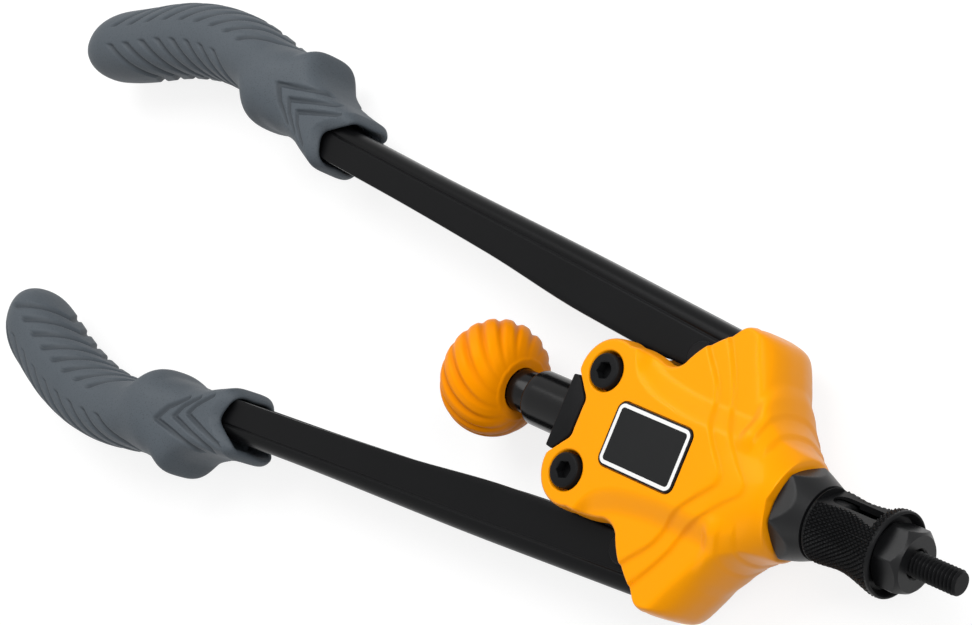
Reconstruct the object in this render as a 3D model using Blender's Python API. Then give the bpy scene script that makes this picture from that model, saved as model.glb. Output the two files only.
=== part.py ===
# Two-handed rivet nut tool for M6 rivet nuts.
#
# The pull rod's axis runs along X, at y = 0, with the nose at +X and the grips at -X.
# The levers lie flat and swing about Z. X = 0 is the line of the two lever pins at rest.
# Lengths are in millimetres and become metres when a mesh is made.
# The tool lies on its flat underside, at z = 0.
from math import acos, atan2, cos, pi, radians, sin, sqrt, tan

import bmesh
import bpy
import numpy as np
from mathutils import Matrix, Vector

MM = 0.001
GAP = 0.3

# Head casting
HOUSING_HALF = 15.5
STEP_HALF = 14.2
WING_TOP = 12.6
WING_BOTTOM = 10.2
HOUSING_TOP_EDGE = 2.4
HOUSING_BOTTOM_EDGE = 4.6
CAVITY_HALF = 8.7
FRONT_WALL = 3.0
LOBE_X = -18.6
LOBE_Y = 12.6
LOBE_RADIUS = 9.1
NOTCH_X = -21.5
NOTCH_HALF = 5.0
NECK_X = -6.4
NECK_Y = 19.6
WING_X = 14.0
WING_Y = 34.5
WING_REAR_X = 9.0
WING_FRONT_X = 19.4
SHOULDER_X = 29.4
SHOULDER_Y = 15.5
SHOULDER_STEP_Y = 18.4
COLLAR_X = 35.8
COLLAR_RADIUS = 12.0
AXIS_HEIGHT = HOUSING_HALF

# Lever pins, toothed heads and rack
PIN_Y = 24.0
PIN_RADIUS = 3.0
PIN_HEAD_RADIUS = 3.9
PIN_HEAD = 1.0
CLIP_RADIUS = 5.2
MODULE = 1.2
SECTOR_TEETH = 20
SECTOR_PITCH_RADIUS = MODULE * SECTOR_TEETH / 2
PRESSURE_ANGLE = radians(20)
BACKLASH = 0.5
HEAD_HALF = 3.3
OPEN_ANGLE = radians(34)
CLOSE_ANGLE = radians(3.5)
STROKE = SECTOR_PITCH_RADIUS * OPEN_ANGLE
BACK_TRAVEL = SECTOR_PITCH_RADIUS * CLOSE_ANGLE

# Pressed steel arms
ARM_WIDTH = 13.2
ARM_HALF = 7.0
ARM_WALL = 1.5
ARM_CORNER = 4.0
ARM_INNER_OFFSET = 3.6
ARM_ANGLE = radians(5.4)
ARM_FRONT = 11.5
ARM_TAPER = 0.152
ARM_TAPER_START = 40.0
ARM_TAPER_END = 125.0
ARM_LEAN = 0.00625
ARM_BEND_START = 148.0
ARM_BEND_END = 160.0
ARM_BEND = radians(15.0)
ARM_LENGTH = 192.0

# Yoke
YOKE_INNER = 3.6
YOKE_OUTER = 5.2
YOKE_EAR_RADIUS = 6.0
HUB_FRONT = -14.6
HUB_REAR = -25.4
HUB_HALF_WIDTH = 7.4

# Pull rod group
ROD_RADIUS = 4.0
ROD_FLANGE_RADIUS = 6.3
ROD_FLANGE = 2.2
SLEEVE_BUSH_RADIUS = 7.15
SLEEVE_BUSH_REAR = -48.5
NECK_RADIUS = 5.5
KNOB_X = -65.3
KNOB_RADIUS = 15.2
KNOB_HALF_LENGTH = 10.6
KNOB_FLUTES = 15
COUPLING_AF = 8.0
COUPLING_REAR = 35.5
COUPLING_FRONT = 50.5
MANDREL_RADIUS = 3.0
MANDREL_TIP = 80.8
MANDREL_REAR = 42.0

# Nose
TUBE_RADIUS = 8.7
TUBE_REAR = 2.0
RACK_REAR = -6.0
TUBE_FRONT_SEAT = 32.4
SPIGOT_RADIUS = 6.3
SPIGOT_FRONT = 50.0
SPIGOT_BORE = 5.0
NUT_AF = 20.0
NUT_LENGTH = 7.8
SLEEVE_FRONT = 64.2
SLEEVE_REAR_RADIUS = 8.8
SLEEVE_OUTLINE = [(46.0, 8.75), (48.0, 8.45), (50.0, 8.15), (52.0, 8.0), (54.0, 8.15), (56.0, 8.55), (58.0, 9.1),
                  (60.0, 9.7), (62.0, 10.25), (62.8, 10.4), (63.8, 10.35), (64.2, 9.9)]
SLEEVE_DISH_RADIUS = 9.6
SLEEVE_DISH_FLOOR = 8.4
WINDOW_ANGLE = radians(58)
WINDOW_WIDTH = 4.4
WINDOW_REAR = 46.8
WINDOW_FRONT = 60.5
WINDOW_FLAT = 7.6
ANVIL_AF = 14.0
ANVIL_FRONT = 69.6
ANVIL_HEX_REAR = 62.4
ANVIL_SHANK_RADIUS = 5.0
ANVIL_REAR = 58.6

# Rear block and bolts
BLOCK_REAR = -30.6
BLOCK_PLATE = 3.4
BLOCK_HALF_WIDTH = 10.0
BLOCK_HALF_HEIGHT = 11.4
BLOCK_CHAMFER = 4.4
TONGUE_TOP = 14.0
TONGUE_INNER = 7.9
BOLT_RADIUS = 2.5
BOLT_HEAD_RADIUS = 4.3
BOLT_HEAD = 5.0
BOLT_PROUD = 0.9
BOLT_KEY_AF = 4.0
BOLT_RECESS = 4.9
BOLT_NUT_AF = 8.0
BOLT_NUT = 4.0

# Badge plate
BADGE_REAR = -10.7
BADGE_FRONT = 12.8
BADGE_HALF_WIDTH = 7.9
BADGE_THICKNESS = 0.8
BADGE_CORNER = 2.2

# Grips, given behind their mouths in the straight arm's own line. The left one is pushed
# less far onto its arm than the right one, and each leans a little to the left.
LEFT_GRIP_MOUTH = 146.0
RIGHT_GRIP_MOUTH = 140.0
GRIP_LEAN = 0.03
LEFT_GRIP_LENGTH = 133.0
RIGHT_GRIP_LENGTH = 129.0
GRIP_CAP = 15.0
GRIP_SIDES = 24
MOUTH_RECESS = 8.5
MOUTH_REACH = 40.0
GUARD_HALF = HOUSING_HALF
GRIP_HALF = 12.6
GRIP_OUTER = [(0, 13.0), (4, 12.2), (9, 11.2), (13, 11.7), (18, 17.2), (23, 22.4), (28, 24.4), (33, 23.5),
              (38, 20.9), (42, 19.5), (47, 21.0), (54, 23.0), (66, 23.2), (80, 22.5), (92, 20.0), (100, 17.5),
              (110, 13.3), (118, 8.9), (126, 4.5), (134, 0.0)]
GRIP_INNER = [(0, -5.2), (8, -5.9), (15, -5.8), (20, -4.4), (25, -2.4), (30, -1.2), (36, -3.2), (43, -4.2),
              (49, -3.2), (55, 1.2), (60, 3.6), (68, 2.7), (76, 1.0), (84, -0.4), (90, -2.9), (98, -6.8),
              (108, -11.5), (116, -14.6), (125, -16.0), (134, -15.6)]
GRIP_HEIGHT = [(0, 10.4), (14, 11.2), (26, 13.4), (38, GUARD_HALF), (50, 14.4), (66, GRIP_HALF), (134, GRIP_HALF)]
GRIP_SQUARENESS = [(0, 4.2), (20, 3.4), (40, 2.5), (60, 2.2), (134, 2.2)]

# Grub screw through the knob
GRUB_RADIUS = 2.0
GRUB_LENGTH = 6.0
GRUB_ANGLE = radians(128)


def metres(points):
    return [tuple(value * MM for value in point) for point in points]


def make_material(name, color, roughness, metallic):
    material = bpy.data.materials.new(name)
    material.use_nodes = True
    shader = material.node_tree.nodes["Principled BSDF"]
    shader.inputs["Base Color"].default_value = (*color, 1)
    shader.inputs["Roughness"].default_value = roughness
    shader.inputs["Metallic"].default_value = metallic
    material.diffuse_color = (*color, 1)
    return material


def make_object(name, mesh, material=None, smooth=None):
    obj = bpy.data.objects.new(name, mesh)
    bpy.context.scene.collection.objects.link(obj)
    if material is not None:
        mesh.materials.append(material)
    if smooth is not None:
        mesh.shade_smooth()
        mesh.set_sharp_from_angle(angle=radians(smooth))
    return obj


def as_guide(obj):
    obj.hide_render = True
    obj.display_type = "WIRE"
    return obj


def mesh_from_rings(name, rings):
    """Skin rings of equal length, in mm, and cap both ends."""
    mesh = bpy.data.meshes.new(name)
    count = len(rings[0])
    verts = metres([point for ring in rings for point in ring])
    faces = []
    for row in range(len(rings) - 1):
        for column in range(count):
            after = (column + 1) % count
            faces.append((row * count + column, row * count + after,
                          (row + 1) * count + after, (row + 1) * count + column))
    faces.append(tuple(reversed(range(count))))
    last = (len(rings) - 1) * count
    faces.append(tuple(range(last, last + count)))
    mesh.from_pydata(verts, [], faces)
    point_outwards(mesh)
    return mesh


def point_outwards(mesh):
    work = bmesh.new()
    work.from_mesh(mesh)
    bmesh.ops.recalc_face_normals(work, faces=work.faces)
    work.to_mesh(mesh)
    work.free()


def arc(center, radius, start, end, steps):
    """Points on a circle in the plan, both ends included."""
    angles = np.linspace(start, end, steps + 1)
    return [(center[0] + radius * cos(angle), center[1] + radius * sin(angle)) for angle in angles]


def rounded(corners, steps=4):
    """Outline through (x, y, radius) corners, each turned into an arc."""
    outline = []
    count = len(corners)
    for index, (x, y, radius) in enumerate(corners):
        here = Vector((x, y))
        back = (Vector(corners[index - 1][:2]) - here).normalized()
        ahead = (Vector(corners[(index + 1) % count][:2]) - here).normalized()
        if radius <= 0:
            outline.append((x, y))
            continue
        half = acos(max(-1.0, min(1.0, back.dot(ahead)))) / 2
        reach = radius / tan(half)
        middle = here + (back + ahead).normalized() * (radius / sin(half))
        first = here + back * reach - middle
        second = here + ahead * reach - middle
        start = atan2(first.y, first.x)
        turn = (atan2(second.y, second.x) - start + pi) % (2 * pi) - pi
        outline += arc(middle, radius, start, start + turn, steps)
    return outline


def prism(name, outline, low, high, material=None, smooth=None):
    """Outline in the plan, carried from low to high along Z."""
    rings = [[(x, y, level) for x, y in outline] for level in (low, high)]
    return make_object(name, mesh_from_rings(name, rings), material, smooth)


def turned(name, profile, segments=40, material=None, smooth=None):
    """Profile of (x, radius) turned about the X axis. Zero radii close the ends."""
    mesh = bpy.data.meshes.new(name)
    work = bmesh.new()
    points = [work.verts.new(Vector((x, 0, radius)) * MM) for x, radius in profile]
    edges = [work.edges.new(pair) for pair in zip(points, points[1:])]
    bmesh.ops.spin(work, geom=points + edges, cent=(0, 0, 0), axis=(1, 0, 0), angle=2 * pi,
                   steps=segments, use_merge=True)
    bmesh.ops.remove_doubles(work, verts=work.verts, dist=0.000001)
    bmesh.ops.recalc_face_normals(work, faces=work.faces)
    work.to_mesh(mesh)
    work.free()
    return make_object(name, mesh, material, smooth)


def tube(name, profile, bore, segments=40, material=None, smooth=None):
    """Outer profile and bore profile, both from rear to front, turned about X."""
    loop = profile + list(reversed(bore))
    return turned(name, loop + loop[:1], segments, material, smooth)


def upright(name, center, profile, segments=24, material=None, smooth=None):
    """Profile of (height, radius) turned about a vertical line through center."""
    obj = turned(name, profile, segments, material, smooth)
    turn = Matrix.Rotation(-pi / 2, 4, "Y")
    obj.data.transform(Matrix.Translation(Vector((*center, 0)) * MM) @ turn)
    return obj


def hexagon(across_flats, start=0.0):
    radius = across_flats / sqrt(3)
    return [(radius * cos(start + side * pi / 3), radius * sin(start + side * pi / 3)) for side in range(6)]


def hex_bar(name, across_flats, rear, front, start=0.0, material=None, smooth=None):
    """Hexagonal bar along X."""
    section = hexagon(across_flats, start)
    rings = [[(x, y, z) for y, z in section] for x in (rear, front)]
    return make_object(name, mesh_from_rings(name, rings), material, smooth)


def boolean(target, tool, operation):
    change = target.modifiers.new(tool.name, "BOOLEAN")
    change.operation = operation
    change.object = as_guide(tool)
    return target


def cut(target, *tools):
    for tool in tools:
        boolean(target, tool, "DIFFERENCE")
    return target


def add(target, *tools):
    for tool in tools:
        boolean(target, tool, "UNION")
    return target


def keep_inside(target, tool):
    return boolean(target, tool, "INTERSECT")


def soften(obj, width, segments=2, angle=35):
    bevel = obj.modifiers.new("edges", "BEVEL")
    bevel.width = width * MM
    bevel.segments = segments
    bevel.limit_method = "ANGLE"
    bevel.angle_limit = radians(angle)
    bevel.harden_normals = False
    return obj


def round_rims(obj, top, bottom, segments):
    """Round the upper and the lower rim of a prism, each to its own radius."""
    mesh = obj.data
    weights = mesh.attributes.new("bevel_weight_edge", "FLOAT", "EDGE")
    widest = max(top, bottom)
    for edge in mesh.edges:
        heights = [mesh.vertices[index].co.z for index in edge.vertices]
        if min(heights) > 0:
            weights.data[edge.index].value = top / widest
        elif max(heights) < 0:
            weights.data[edge.index].value = bottom / widest
    bevel = obj.modifiers.new("rims", "BEVEL")
    bevel.width = widest * MM
    bevel.segments = segments
    bevel.limit_method = "WEIGHT"
    return obj


def mirrored(outline):
    return outline + [(x, -y) for x, y in reversed(outline)]


for leftover in list(bpy.data.objects):
    bpy.data.objects.remove(leftover, do_unlink=True)

YELLOW = make_material("yellow_enamel", (1.0, 0.43, 0.0), 0.28, 0.0)
KNOB_YELLOW = make_material("yellow_knob_plastic", (0.95, 0.36, 0.0), 0.5, 0.0)
BLACK_PAINT = make_material("black_lacquer", (0.012, 0.013, 0.014), 0.3, 0.0)
BLACK_STEEL = make_material("black_oxide_steel", (0.02, 0.021, 0.023), 0.42, 0.9)
BARE_STEEL = make_material("bright_steel", (0.45, 0.45, 0.46), 0.35, 1.0)
BRONZE = make_material("bronze", (0.55, 0.35, 0.14), 0.4, 1.0)
RUBBER = make_material("grey_rubber", (0.075, 0.085, 0.1), 0.75, 0.0)
BADGE = make_material("badge_black", (0.02, 0.021, 0.023), 0.4, 0.0)


def housing_outline():
    """Plan of the head: two bolt lobes, necks, two wings and the shoulders to the nose."""
    lobe_steps = 8
    lobe = [(x, y) for x, y in arc((LOBE_X, LOBE_Y), LOBE_RADIUS, radians(200), radians(70), lobe_steps)]
    neck = rounded([(*lobe[-1], 0), (NECK_X, NECK_Y, 4.0), (WING_REAR_X, WING_Y + 0.8, 3.0),
                    (WING_FRONT_X - 0.2, WING_Y - 0.4, 2.4), (WING_FRONT_X + 2.5, WING_Y - 4.0, 2.0),
                    (SHOULDER_X, SHOULDER_STEP_Y, 3.5), (SHOULDER_X + 3.6, SHOULDER_Y - 1.3, 2.0),
                    (COLLAR_X, COLLAR_RADIUS, 0)])
    half = [(NOTCH_X, NOTCH_HALF)] + lobe[:-1] + neck
    return mirrored(half)


def front_wall_inner():
    """Inner face of the wing and shoulder walls, from the open side of the wing to the nose tube."""
    wall = FRONT_WALL
    return [(WING_X, WING_Y + 8.0), (WING_X, WING_Y - wall),
            (WING_FRONT_X - wall + 1.4, WING_Y - wall), (SHOULDER_X - wall - 0.2, SHOULDER_Y - 1.0),
            (SHOULDER_X - wall - 0.2, 9.4)]


def make_housing():
    body = prism("housing", housing_outline(), -WING_BOTTOM, WING_TOP, YELLOW, 40)
    round_rims(body, HOUSING_TOP_EDGE, HOUSING_BOTTOM_EDGE, 3)
    middle = [(-26.6, 9.8), (-27.0, 14.4), (-22.0, 20.4), (-13.6, 20.4), (-5.4, 18.2), (3.2, 19.0),
              (9.2, 24.6), (15.4, 17.6), (19.0, 13.4), (27.6, 0.0)]
    step = prism("housing_step", mirrored([(NOTCH_X + 0.6, 5.2)] + middle[:-1] + [(27.0, 1.2)]),
                 -STEP_HALF, STEP_HALF)
    soften(step, 0.9, 2)
    inner = [(-26.2, 10.0), (-26.2, 14.2), (-21.6, 19.8), (-13.6, 19.8), (-5.4, 16.6), (3.0, 16.4),
             (8.6, 17.0), (13.4, 13.0), (22.0, 1.0)]
    top = prism("housing_top", mirrored([(NOTCH_X + 1.0, 4.8)] + inner), -HOUSING_HALF, HOUSING_HALF)
    soften(top, 0.9, 2)
    collar = turned("housing_collar", [(8.0, 0), (8.0, 13.2), (20.0, 13.6), (26.0, 13.4), (32.0, 12.7),
                                       (COLLAR_X - 1.2, COLLAR_RADIUS + 0.4), (COLLAR_X, COLLAR_RADIUS - 0.6),
                                       (COLLAR_X, 0)], 48)
    add(body, step, top, collar)
    rear_reach = -60.0
    cavity_plan = mirrored([(rear_reach, WING_Y + 8.0)] + front_wall_inner())
    cavity = prism("housing_cavity", cavity_plan, -CAVITY_HALF, CAVITY_HALF)
    bore = turned("housing_bore", [(0, 0), (0, TUBE_RADIUS + GAP), (TUBE_FRONT_SEAT, TUBE_RADIUS + GAP),
                                   (TUBE_FRONT_SEAT, SPIGOT_RADIUS + GAP), (COLLAR_X + 5, SPIGOT_RADIUS + GAP),
                                   (COLLAR_X + 5, 0)], 40)
    cut(body, cavity, bore)
    for side in (1, -1):
        center = (LOBE_X, side * LOBE_Y)
        head_floor = HOUSING_HALF + BOLT_PROUD - BOLT_HEAD - GAP
        recess = upright(f"housing_recess_{side}", center,
                         [(head_floor, 0), (head_floor, BOLT_RECESS), (40, BOLT_RECESS), (40, 0)], 24)
        shank = upright(f"housing_shank_{side}", center,
                        [(-40, 0), (-40, BOLT_RADIUS + GAP), (40, BOLT_RADIUS + GAP), (40, 0)], 20)
        nut_floor = HOUSING_HALF - BOLT_NUT - GAP
        pocket = prism(f"housing_pocket_{side}", hexagon(BOLT_NUT_AF + 2 * GAP), -40, -nut_floor)
        pocket.data.transform(Matrix.Translation(Vector((*center, 0)) * MM))
        cut(body, recess, shank, pocket)
    badge_seat = prism("housing_badge_seat", badge_outline(GAP), HOUSING_HALF - BADGE_THICKNESS, 40)
    cut(body, badge_seat)
    return body


def badge_outline(extra=0.0):
    rear = BADGE_REAR - extra
    front = BADGE_FRONT + extra
    side = BADGE_HALF_WIDTH + extra
    corner = BADGE_CORNER + extra
    return rounded([(rear, -side, corner), (front, -side, corner), (front, side, corner), (rear, side, corner)])


def make_badge():
    """Bare plate in a shallow seat on the upper face."""
    base = HOUSING_HALF - BADGE_THICKNESS + 0.05
    return prism("badge_plate", badge_outline(), base, base + BADGE_THICKNESS, BADGE, 40)


def make_rear_block():
    """Guide block clamped between the bolt lobes, with a flange that closes the notch."""
    front = BLOCK_REAR + BLOCK_PLATE
    arm_outer = LOBE_Y + 5.0
    plan = mirrored([(BLOCK_REAR + 0.6, BLOCK_HALF_WIDTH - 1.2), (-26.2, arm_outer), (-16.2, arm_outer),
                     (-15.0, LOBE_Y), (-17.0, HUB_HALF_WIDTH + 0.4), (front, HUB_HALF_WIDTH + 0.4)])
    height = CAVITY_HALF - GAP
    block = prism("rear_block", plan, -height, height, BLACK_STEEL, 40)
    flange = make_object("rear_flange", mesh_from_rings("rear_flange", [
        [(x, y, z) for y, z in rounded([
            (-BLOCK_HALF_WIDTH, -BLOCK_HALF_HEIGHT + BLOCK_CHAMFER, 0),
            (-BLOCK_HALF_WIDTH + BLOCK_CHAMFER, -BLOCK_HALF_HEIGHT, 0),
            (BLOCK_HALF_WIDTH - BLOCK_CHAMFER, -BLOCK_HALF_HEIGHT, 0),
            (BLOCK_HALF_WIDTH, -BLOCK_HALF_HEIGHT + BLOCK_CHAMFER, 0),
            (BLOCK_HALF_WIDTH, BLOCK_HALF_HEIGHT - BLOCK_CHAMFER, 0),
            (BLOCK_HALF_WIDTH - BLOCK_CHAMFER, BLOCK_HALF_HEIGHT, 0),
            (-BLOCK_HALF_WIDTH + BLOCK_CHAMFER, BLOCK_HALF_HEIGHT, 0),
            (-BLOCK_HALF_WIDTH, BLOCK_HALF_HEIGHT - BLOCK_CHAMFER, 0)])]
        for x in (BLOCK_REAR, LOBE_X - LOBE_RADIUS - GAP)]))
    side = NOTCH_HALF - GAP
    tongue = mirrored([(LOBE_X - LOBE_RADIUS - 1.2, 8.4), (-27.6, 8.8), (NOTCH_X - GAP, side)])
    add(block, flange, prism("rear_upper_tongue", tongue, TONGUE_INNER, TONGUE_TOP),
        prism("rear_lower_tongue", tongue, -BLOCK_HALF_HEIGHT + 0.4, -TONGUE_INNER))
    bore = turned("rear_bore", [(-60, 0), (-60, SLEEVE_BUSH_RADIUS + GAP), (0, SLEEVE_BUSH_RADIUS + GAP), (0, 0)], 32)
    cut(block, bore)
    for side in (1, -1):
        cut(block, upright(f"rear_bolt_hole_{side}", (LOBE_X, side * LOBE_Y),
                           [(-40, 0), (-40, BOLT_RADIUS + GAP), (40, BOLT_RADIUS + GAP), (40, 0)], 20))
    return block


def make_bolt(name, side):
    top = HOUSING_HALF + BOLT_PROUD
    under = top - BOLT_HEAD
    end = -HOUSING_HALF + 0.6
    bolt = upright(name, (LOBE_X, side * LOBE_Y),
                   [(end, 0), (end, BOLT_RADIUS - 0.4), (end + 0.4, BOLT_RADIUS), (under, BOLT_RADIUS),
                    (under, BOLT_HEAD_RADIUS), (top - 0.5, BOLT_HEAD_RADIUS), (top, BOLT_HEAD_RADIUS - 0.5),
                    (top, 0)], 24, BLACK_STEEL, 30)
    key = prism(f"{name}_key", hexagon(BOLT_KEY_AF), top - 2.8, top + 5)
    key.data.transform(Matrix.Translation(Vector((LOBE_X, side * LOBE_Y, 0)) * MM))
    return cut(bolt, key)


def make_bolt_nut(name, side):
    floor = -HOUSING_HALF + BOLT_NUT
    nut = prism(name, hexagon(BOLT_NUT_AF), floor - BOLT_NUT + 0.6, floor, BLACK_STEEL)
    nut.data.transform(Matrix.Translation(Vector((LOBE_X, side * LOBE_Y, 0)) * MM))
    hole = upright(f"{name}_hole", (LOBE_X, side * LOBE_Y),
                   [(-40, 0), (-40, BOLT_RADIUS + GAP), (40, BOLT_RADIUS + GAP), (40, 0)], 20)
    return cut(nut, hole)


def make_rack_tube():
    """Fixed steel tube: toothed bars at its rear, a seat in the collar and a threaded spigot."""
    outer = [(TUBE_REAR, TUBE_RADIUS), (TUBE_FRONT_SEAT - GAP, TUBE_RADIUS), (TUBE_FRONT_SEAT - GAP, SPIGOT_RADIUS),
             (SPIGOT_FRONT - 0.6, SPIGOT_RADIUS), (SPIGOT_FRONT, SPIGOT_RADIUS - 0.6)]
    inner = [(TUBE_REAR, SPIGOT_BORE), (SPIGOT_FRONT, SPIGOT_BORE)]
    body = tube("rack_tube", outer, inner, 40, BLACK_STEEL, 30)
    pitch = pi * MODULE
    line = PIN_Y - SECTOR_PITCH_RADIUS
    tip = line + MODULE
    root = line - 1.25 * MODULE
    slope = tan(PRESSURE_ANGLE)
    bar_rear = RACK_REAR
    bar_front = STROKE + 7.0
    half_tooth = pitch / 4 - BACKLASH / 4
    for side in (1, -1):
        outline = [(bar_rear, 7.4), (bar_front, 7.4), (bar_front, root)]
        first = int((bar_rear + half_tooth) / pitch) - 1
        last = int((bar_front - half_tooth) / pitch)
        for tooth in range(last, first - 1, -1):
            center = tooth * pitch
            base = half_tooth + (line - root) * slope
            crest = half_tooth - (tip - line) * slope
            if center - base < bar_rear + 0.2 or center + base > bar_front - 0.2:
                continue
            outline += [(center + base, root), (center + crest, tip), (center - crest, tip), (center - base, root)]
        outline.append((bar_rear, root))
        bar = prism(f"rack_bar_{side}", [(x, side * y) for x, y in outline], -HEAD_HALF, HEAD_HALF)
        add(body, bar)
    return body


def involute_flank(steps=4):
    """Radius and angle from the tooth's middle line, from root to tip, along an involute."""
    base = SECTOR_PITCH_RADIUS * cos(PRESSURE_ANGLE)
    tip = SECTOR_PITCH_RADIUS + MODULE
    root = SECTOR_PITCH_RADIUS - 1.25 * MODULE
    half_at_pitch = (pi * MODULE / 2 - BACKLASH / 2) / 2 / SECTOR_PITCH_RADIUS
    unwound = tan(PRESSURE_ANGLE) - PRESSURE_ANGLE
    flank = [(root, half_at_pitch + unwound)]
    for radius in np.linspace(max(base, root), tip, steps):
        angle = acos(min(1.0, base / radius))
        flank.append((radius, half_at_pitch + unwound - (tan(angle) - angle)))
    return flank


def arm_frame(side):
    """Matrix from arm coordinates, u along the arm to the grip and w outwards, to the plan."""
    along = Vector((-cos(ARM_ANGLE), side * sin(ARM_ANGLE), 0))
    out = Vector((sin(ARM_ANGLE), side * cos(ARM_ANGLE), 0))
    return along, out


def on_arm(side, u, w, z=0.0):
    along, out = arm_frame(side)
    point = Vector((0, side * PIN_Y, z)) + along * u + out * w
    return (point.x, point.y, point.z)


def make_head(name, side):
    """Toothed lever head welded in the arm: a sector, its hub and a thick tail."""
    tooth_step = 2 * pi / SECTOR_TEETH
    toward_rack = -pi / 2 * side
    outline = []
    flank = involute_flank()
    root = flank[0][0]
    count = 4
    spin = side
    gap_center = toward_rack
    for index in range(-1, count):
        middle = gap_center + spin * (index + 0.5) * tooth_step
        outline += [(r * cos(middle - spin * a), r * sin(middle - spin * a)) for r, a in flank]
        outline += [(r * cos(middle + spin * a), r * sin(middle + spin * a)) for r, a in reversed(flank)]
    first = gap_center + spin * (-1) * tooth_step
    last = gap_center + spin * count * tooth_step
    outline = [(root * cos(first), root * sin(first))] + outline + [(root * cos(last), root * sin(last))]
    hub_radius = 7.6
    back = arc((0, 0), hub_radius, last + spin * 0.35, first + spin * 2 * pi - spin * 0.35, 12)
    sector_points = [(x, side * PIN_Y + y) for x, y in outline + back]
    head = prism(name, sector_points, -HEAD_HALF, HEAD_HALF, BARE_STEEL, 25)
    tail_inner = -ARM_INNER_OFFSET + 0.6
    tail_outer = ARM_WIDTH - ARM_INNER_OFFSET - ARM_WALL - 2.8
    neck = [on_arm(side, u, w)[:2] for u, w in ((2, tail_inner), (16, tail_inner), (16, tail_outer), (2, tail_outer))]
    tail = [on_arm(side, u, w)[:2] for u, w in ((14, tail_inner - 0.2), (44, tail_inner), (44, tail_outer), (14, tail_outer - 0.2))]
    add(head, prism(f"{name}_neck", neck, -HEAD_HALF + 0.05, HEAD_HALF - 0.05),
        prism(f"{name}_tail", tail, -(ARM_HALF - ARM_WALL - GAP), ARM_HALF - ARM_WALL - GAP))
    hole = upright(f"{name}_hole", (0, side * PIN_Y),
                   [(-40, 0), (-40, PIN_RADIUS + GAP), (40, PIN_RADIUS + GAP), (40, 0)], 24)
    return cut(head, hole)


def arm_section():
    """Closed U in (w, z): a web on the outer side with rounded corners and two flanges."""
    inner = -ARM_INNER_OFFSET
    outer = ARM_WIDTH - ARM_INNER_OFFSET
    outside = [(inner, -ARM_HALF)]
    outside += arc((outer - ARM_CORNER, -ARM_HALF + ARM_CORNER), ARM_CORNER, -pi / 2, 0, 5)
    outside += arc((outer - ARM_CORNER, ARM_HALF - ARM_CORNER), ARM_CORNER, 0, pi / 2, 5)
    outside += [(inner, ARM_HALF)]
    radius = ARM_CORNER - ARM_WALL
    inside = [(inner, ARM_HALF - ARM_WALL)]
    inside += arc((outer - ARM_CORNER, ARM_HALF - ARM_CORNER), radius, pi / 2, 0, 4)
    inside += arc((outer - ARM_CORNER, -ARM_HALF + ARM_CORNER), radius, 0, -pi / 2, 4)
    inside += [(inner, -ARM_HALF + ARM_WALL)]
    return outside + inside


def arm_stations():
    """Positions along the arm as (u, w shift, turn): straight, then a bend outwards, then straight."""
    stations = [(-ARM_FRONT, 0.0, 0.0), (0.0, 0.0, 0.0)]
    for u in np.linspace(ARM_TAPER_START, ARM_TAPER_END, 7):
        stations.append((float(u), 0.0, 0.0))
    stations.append((ARM_BEND_START, 0.0, 0.0))
    radius = (ARM_BEND_END - ARM_BEND_START) / ARM_BEND
    for turn in np.linspace(0, ARM_BEND, 6)[1:]:
        stations.append((ARM_BEND_START + radius * sin(turn), radius * (1 - cos(turn)), float(turn)))
    u, w, turn = stations[-1]
    rest = ARM_LENGTH - ARM_BEND_END
    stations.append((u + rest * cos(turn), w + rest * sin(turn), turn))
    return stations


def arm_ring(side, station, section):
    """Section placed at a station. The arm narrows along its length and leans a little to the left."""
    u, shift, turn = station
    middle = ARM_WIDTH / 2 - ARM_INNER_OFFSET
    share = min(1.0, max(0.0, (u - ARM_TAPER_START) / (ARM_TAPER_END - ARM_TAPER_START)))
    narrow = 1 - ARM_TAPER * share * share * (3 - 2 * share)
    lean = side * ARM_LEAN * max(0.0, u)
    ring = []
    for w, z in section:
        across = (w - middle) * narrow
        ring.append(on_arm(side, u - across * sin(turn), middle + shift + lean + across * cos(turn), z))
    return ring


def make_arm(name, side):
    rings = [arm_ring(side, station, arm_section()) for station in arm_stations()]
    arm = make_object(name, mesh_from_rings(name, rings), BLACK_PAINT, 30)
    hole = upright(f"{name}_hole", (0, side * PIN_Y),
                   [(-40, 0), (-40, PIN_RADIUS + GAP), (40, PIN_RADIUS + GAP), (40, 0)], 24)
    nose_outer = ARM_WIDTH - ARM_INNER_OFFSET
    corner = [on_arm(side, u, w)[:2] for u, w in
              ((-ARM_FRONT - 1, nose_outer - 7), (-ARM_FRONT, nose_outer - 7), (-ARM_FRONT + 2, nose_outer - 3),
               (-ARM_FRONT + 6, nose_outer), (-ARM_FRONT + 6, nose_outer + 1), (-ARM_FRONT - 1, nose_outer + 1))]
    return cut(arm, hole, prism(f"{name}_corner", corner, -20, 20))


def make_pin(name, side):
    reach = ARM_HALF + GAP
    top = reach + PIN_HEAD
    return upright(name, (0, side * PIN_Y),
                   [(-top - 0.1, 0), (-top - 0.1, PIN_RADIUS - 0.4), (-top + 0.3, PIN_RADIUS),
                    (reach, PIN_RADIUS), (reach, PIN_HEAD_RADIUS), (top - 0.4, PIN_HEAD_RADIUS),
                    (top, PIN_HEAD_RADIUS - 0.4), (top, 0)], 24, BLACK_STEEL, 30)


def make_clip(name, side):
    """Retaining washer on the pin's lower end."""
    low = -ARM_HALF - GAP - 1.0
    ring = [(low, PIN_RADIUS + GAP), (low, CLIP_RADIUS), (low + 0.9, CLIP_RADIUS),
            (low + 0.9, PIN_RADIUS + GAP), (low, PIN_RADIUS + GAP)]
    return upright(name, (0, side * PIN_Y), ring, 24, BARE_STEEL, 30)


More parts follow.
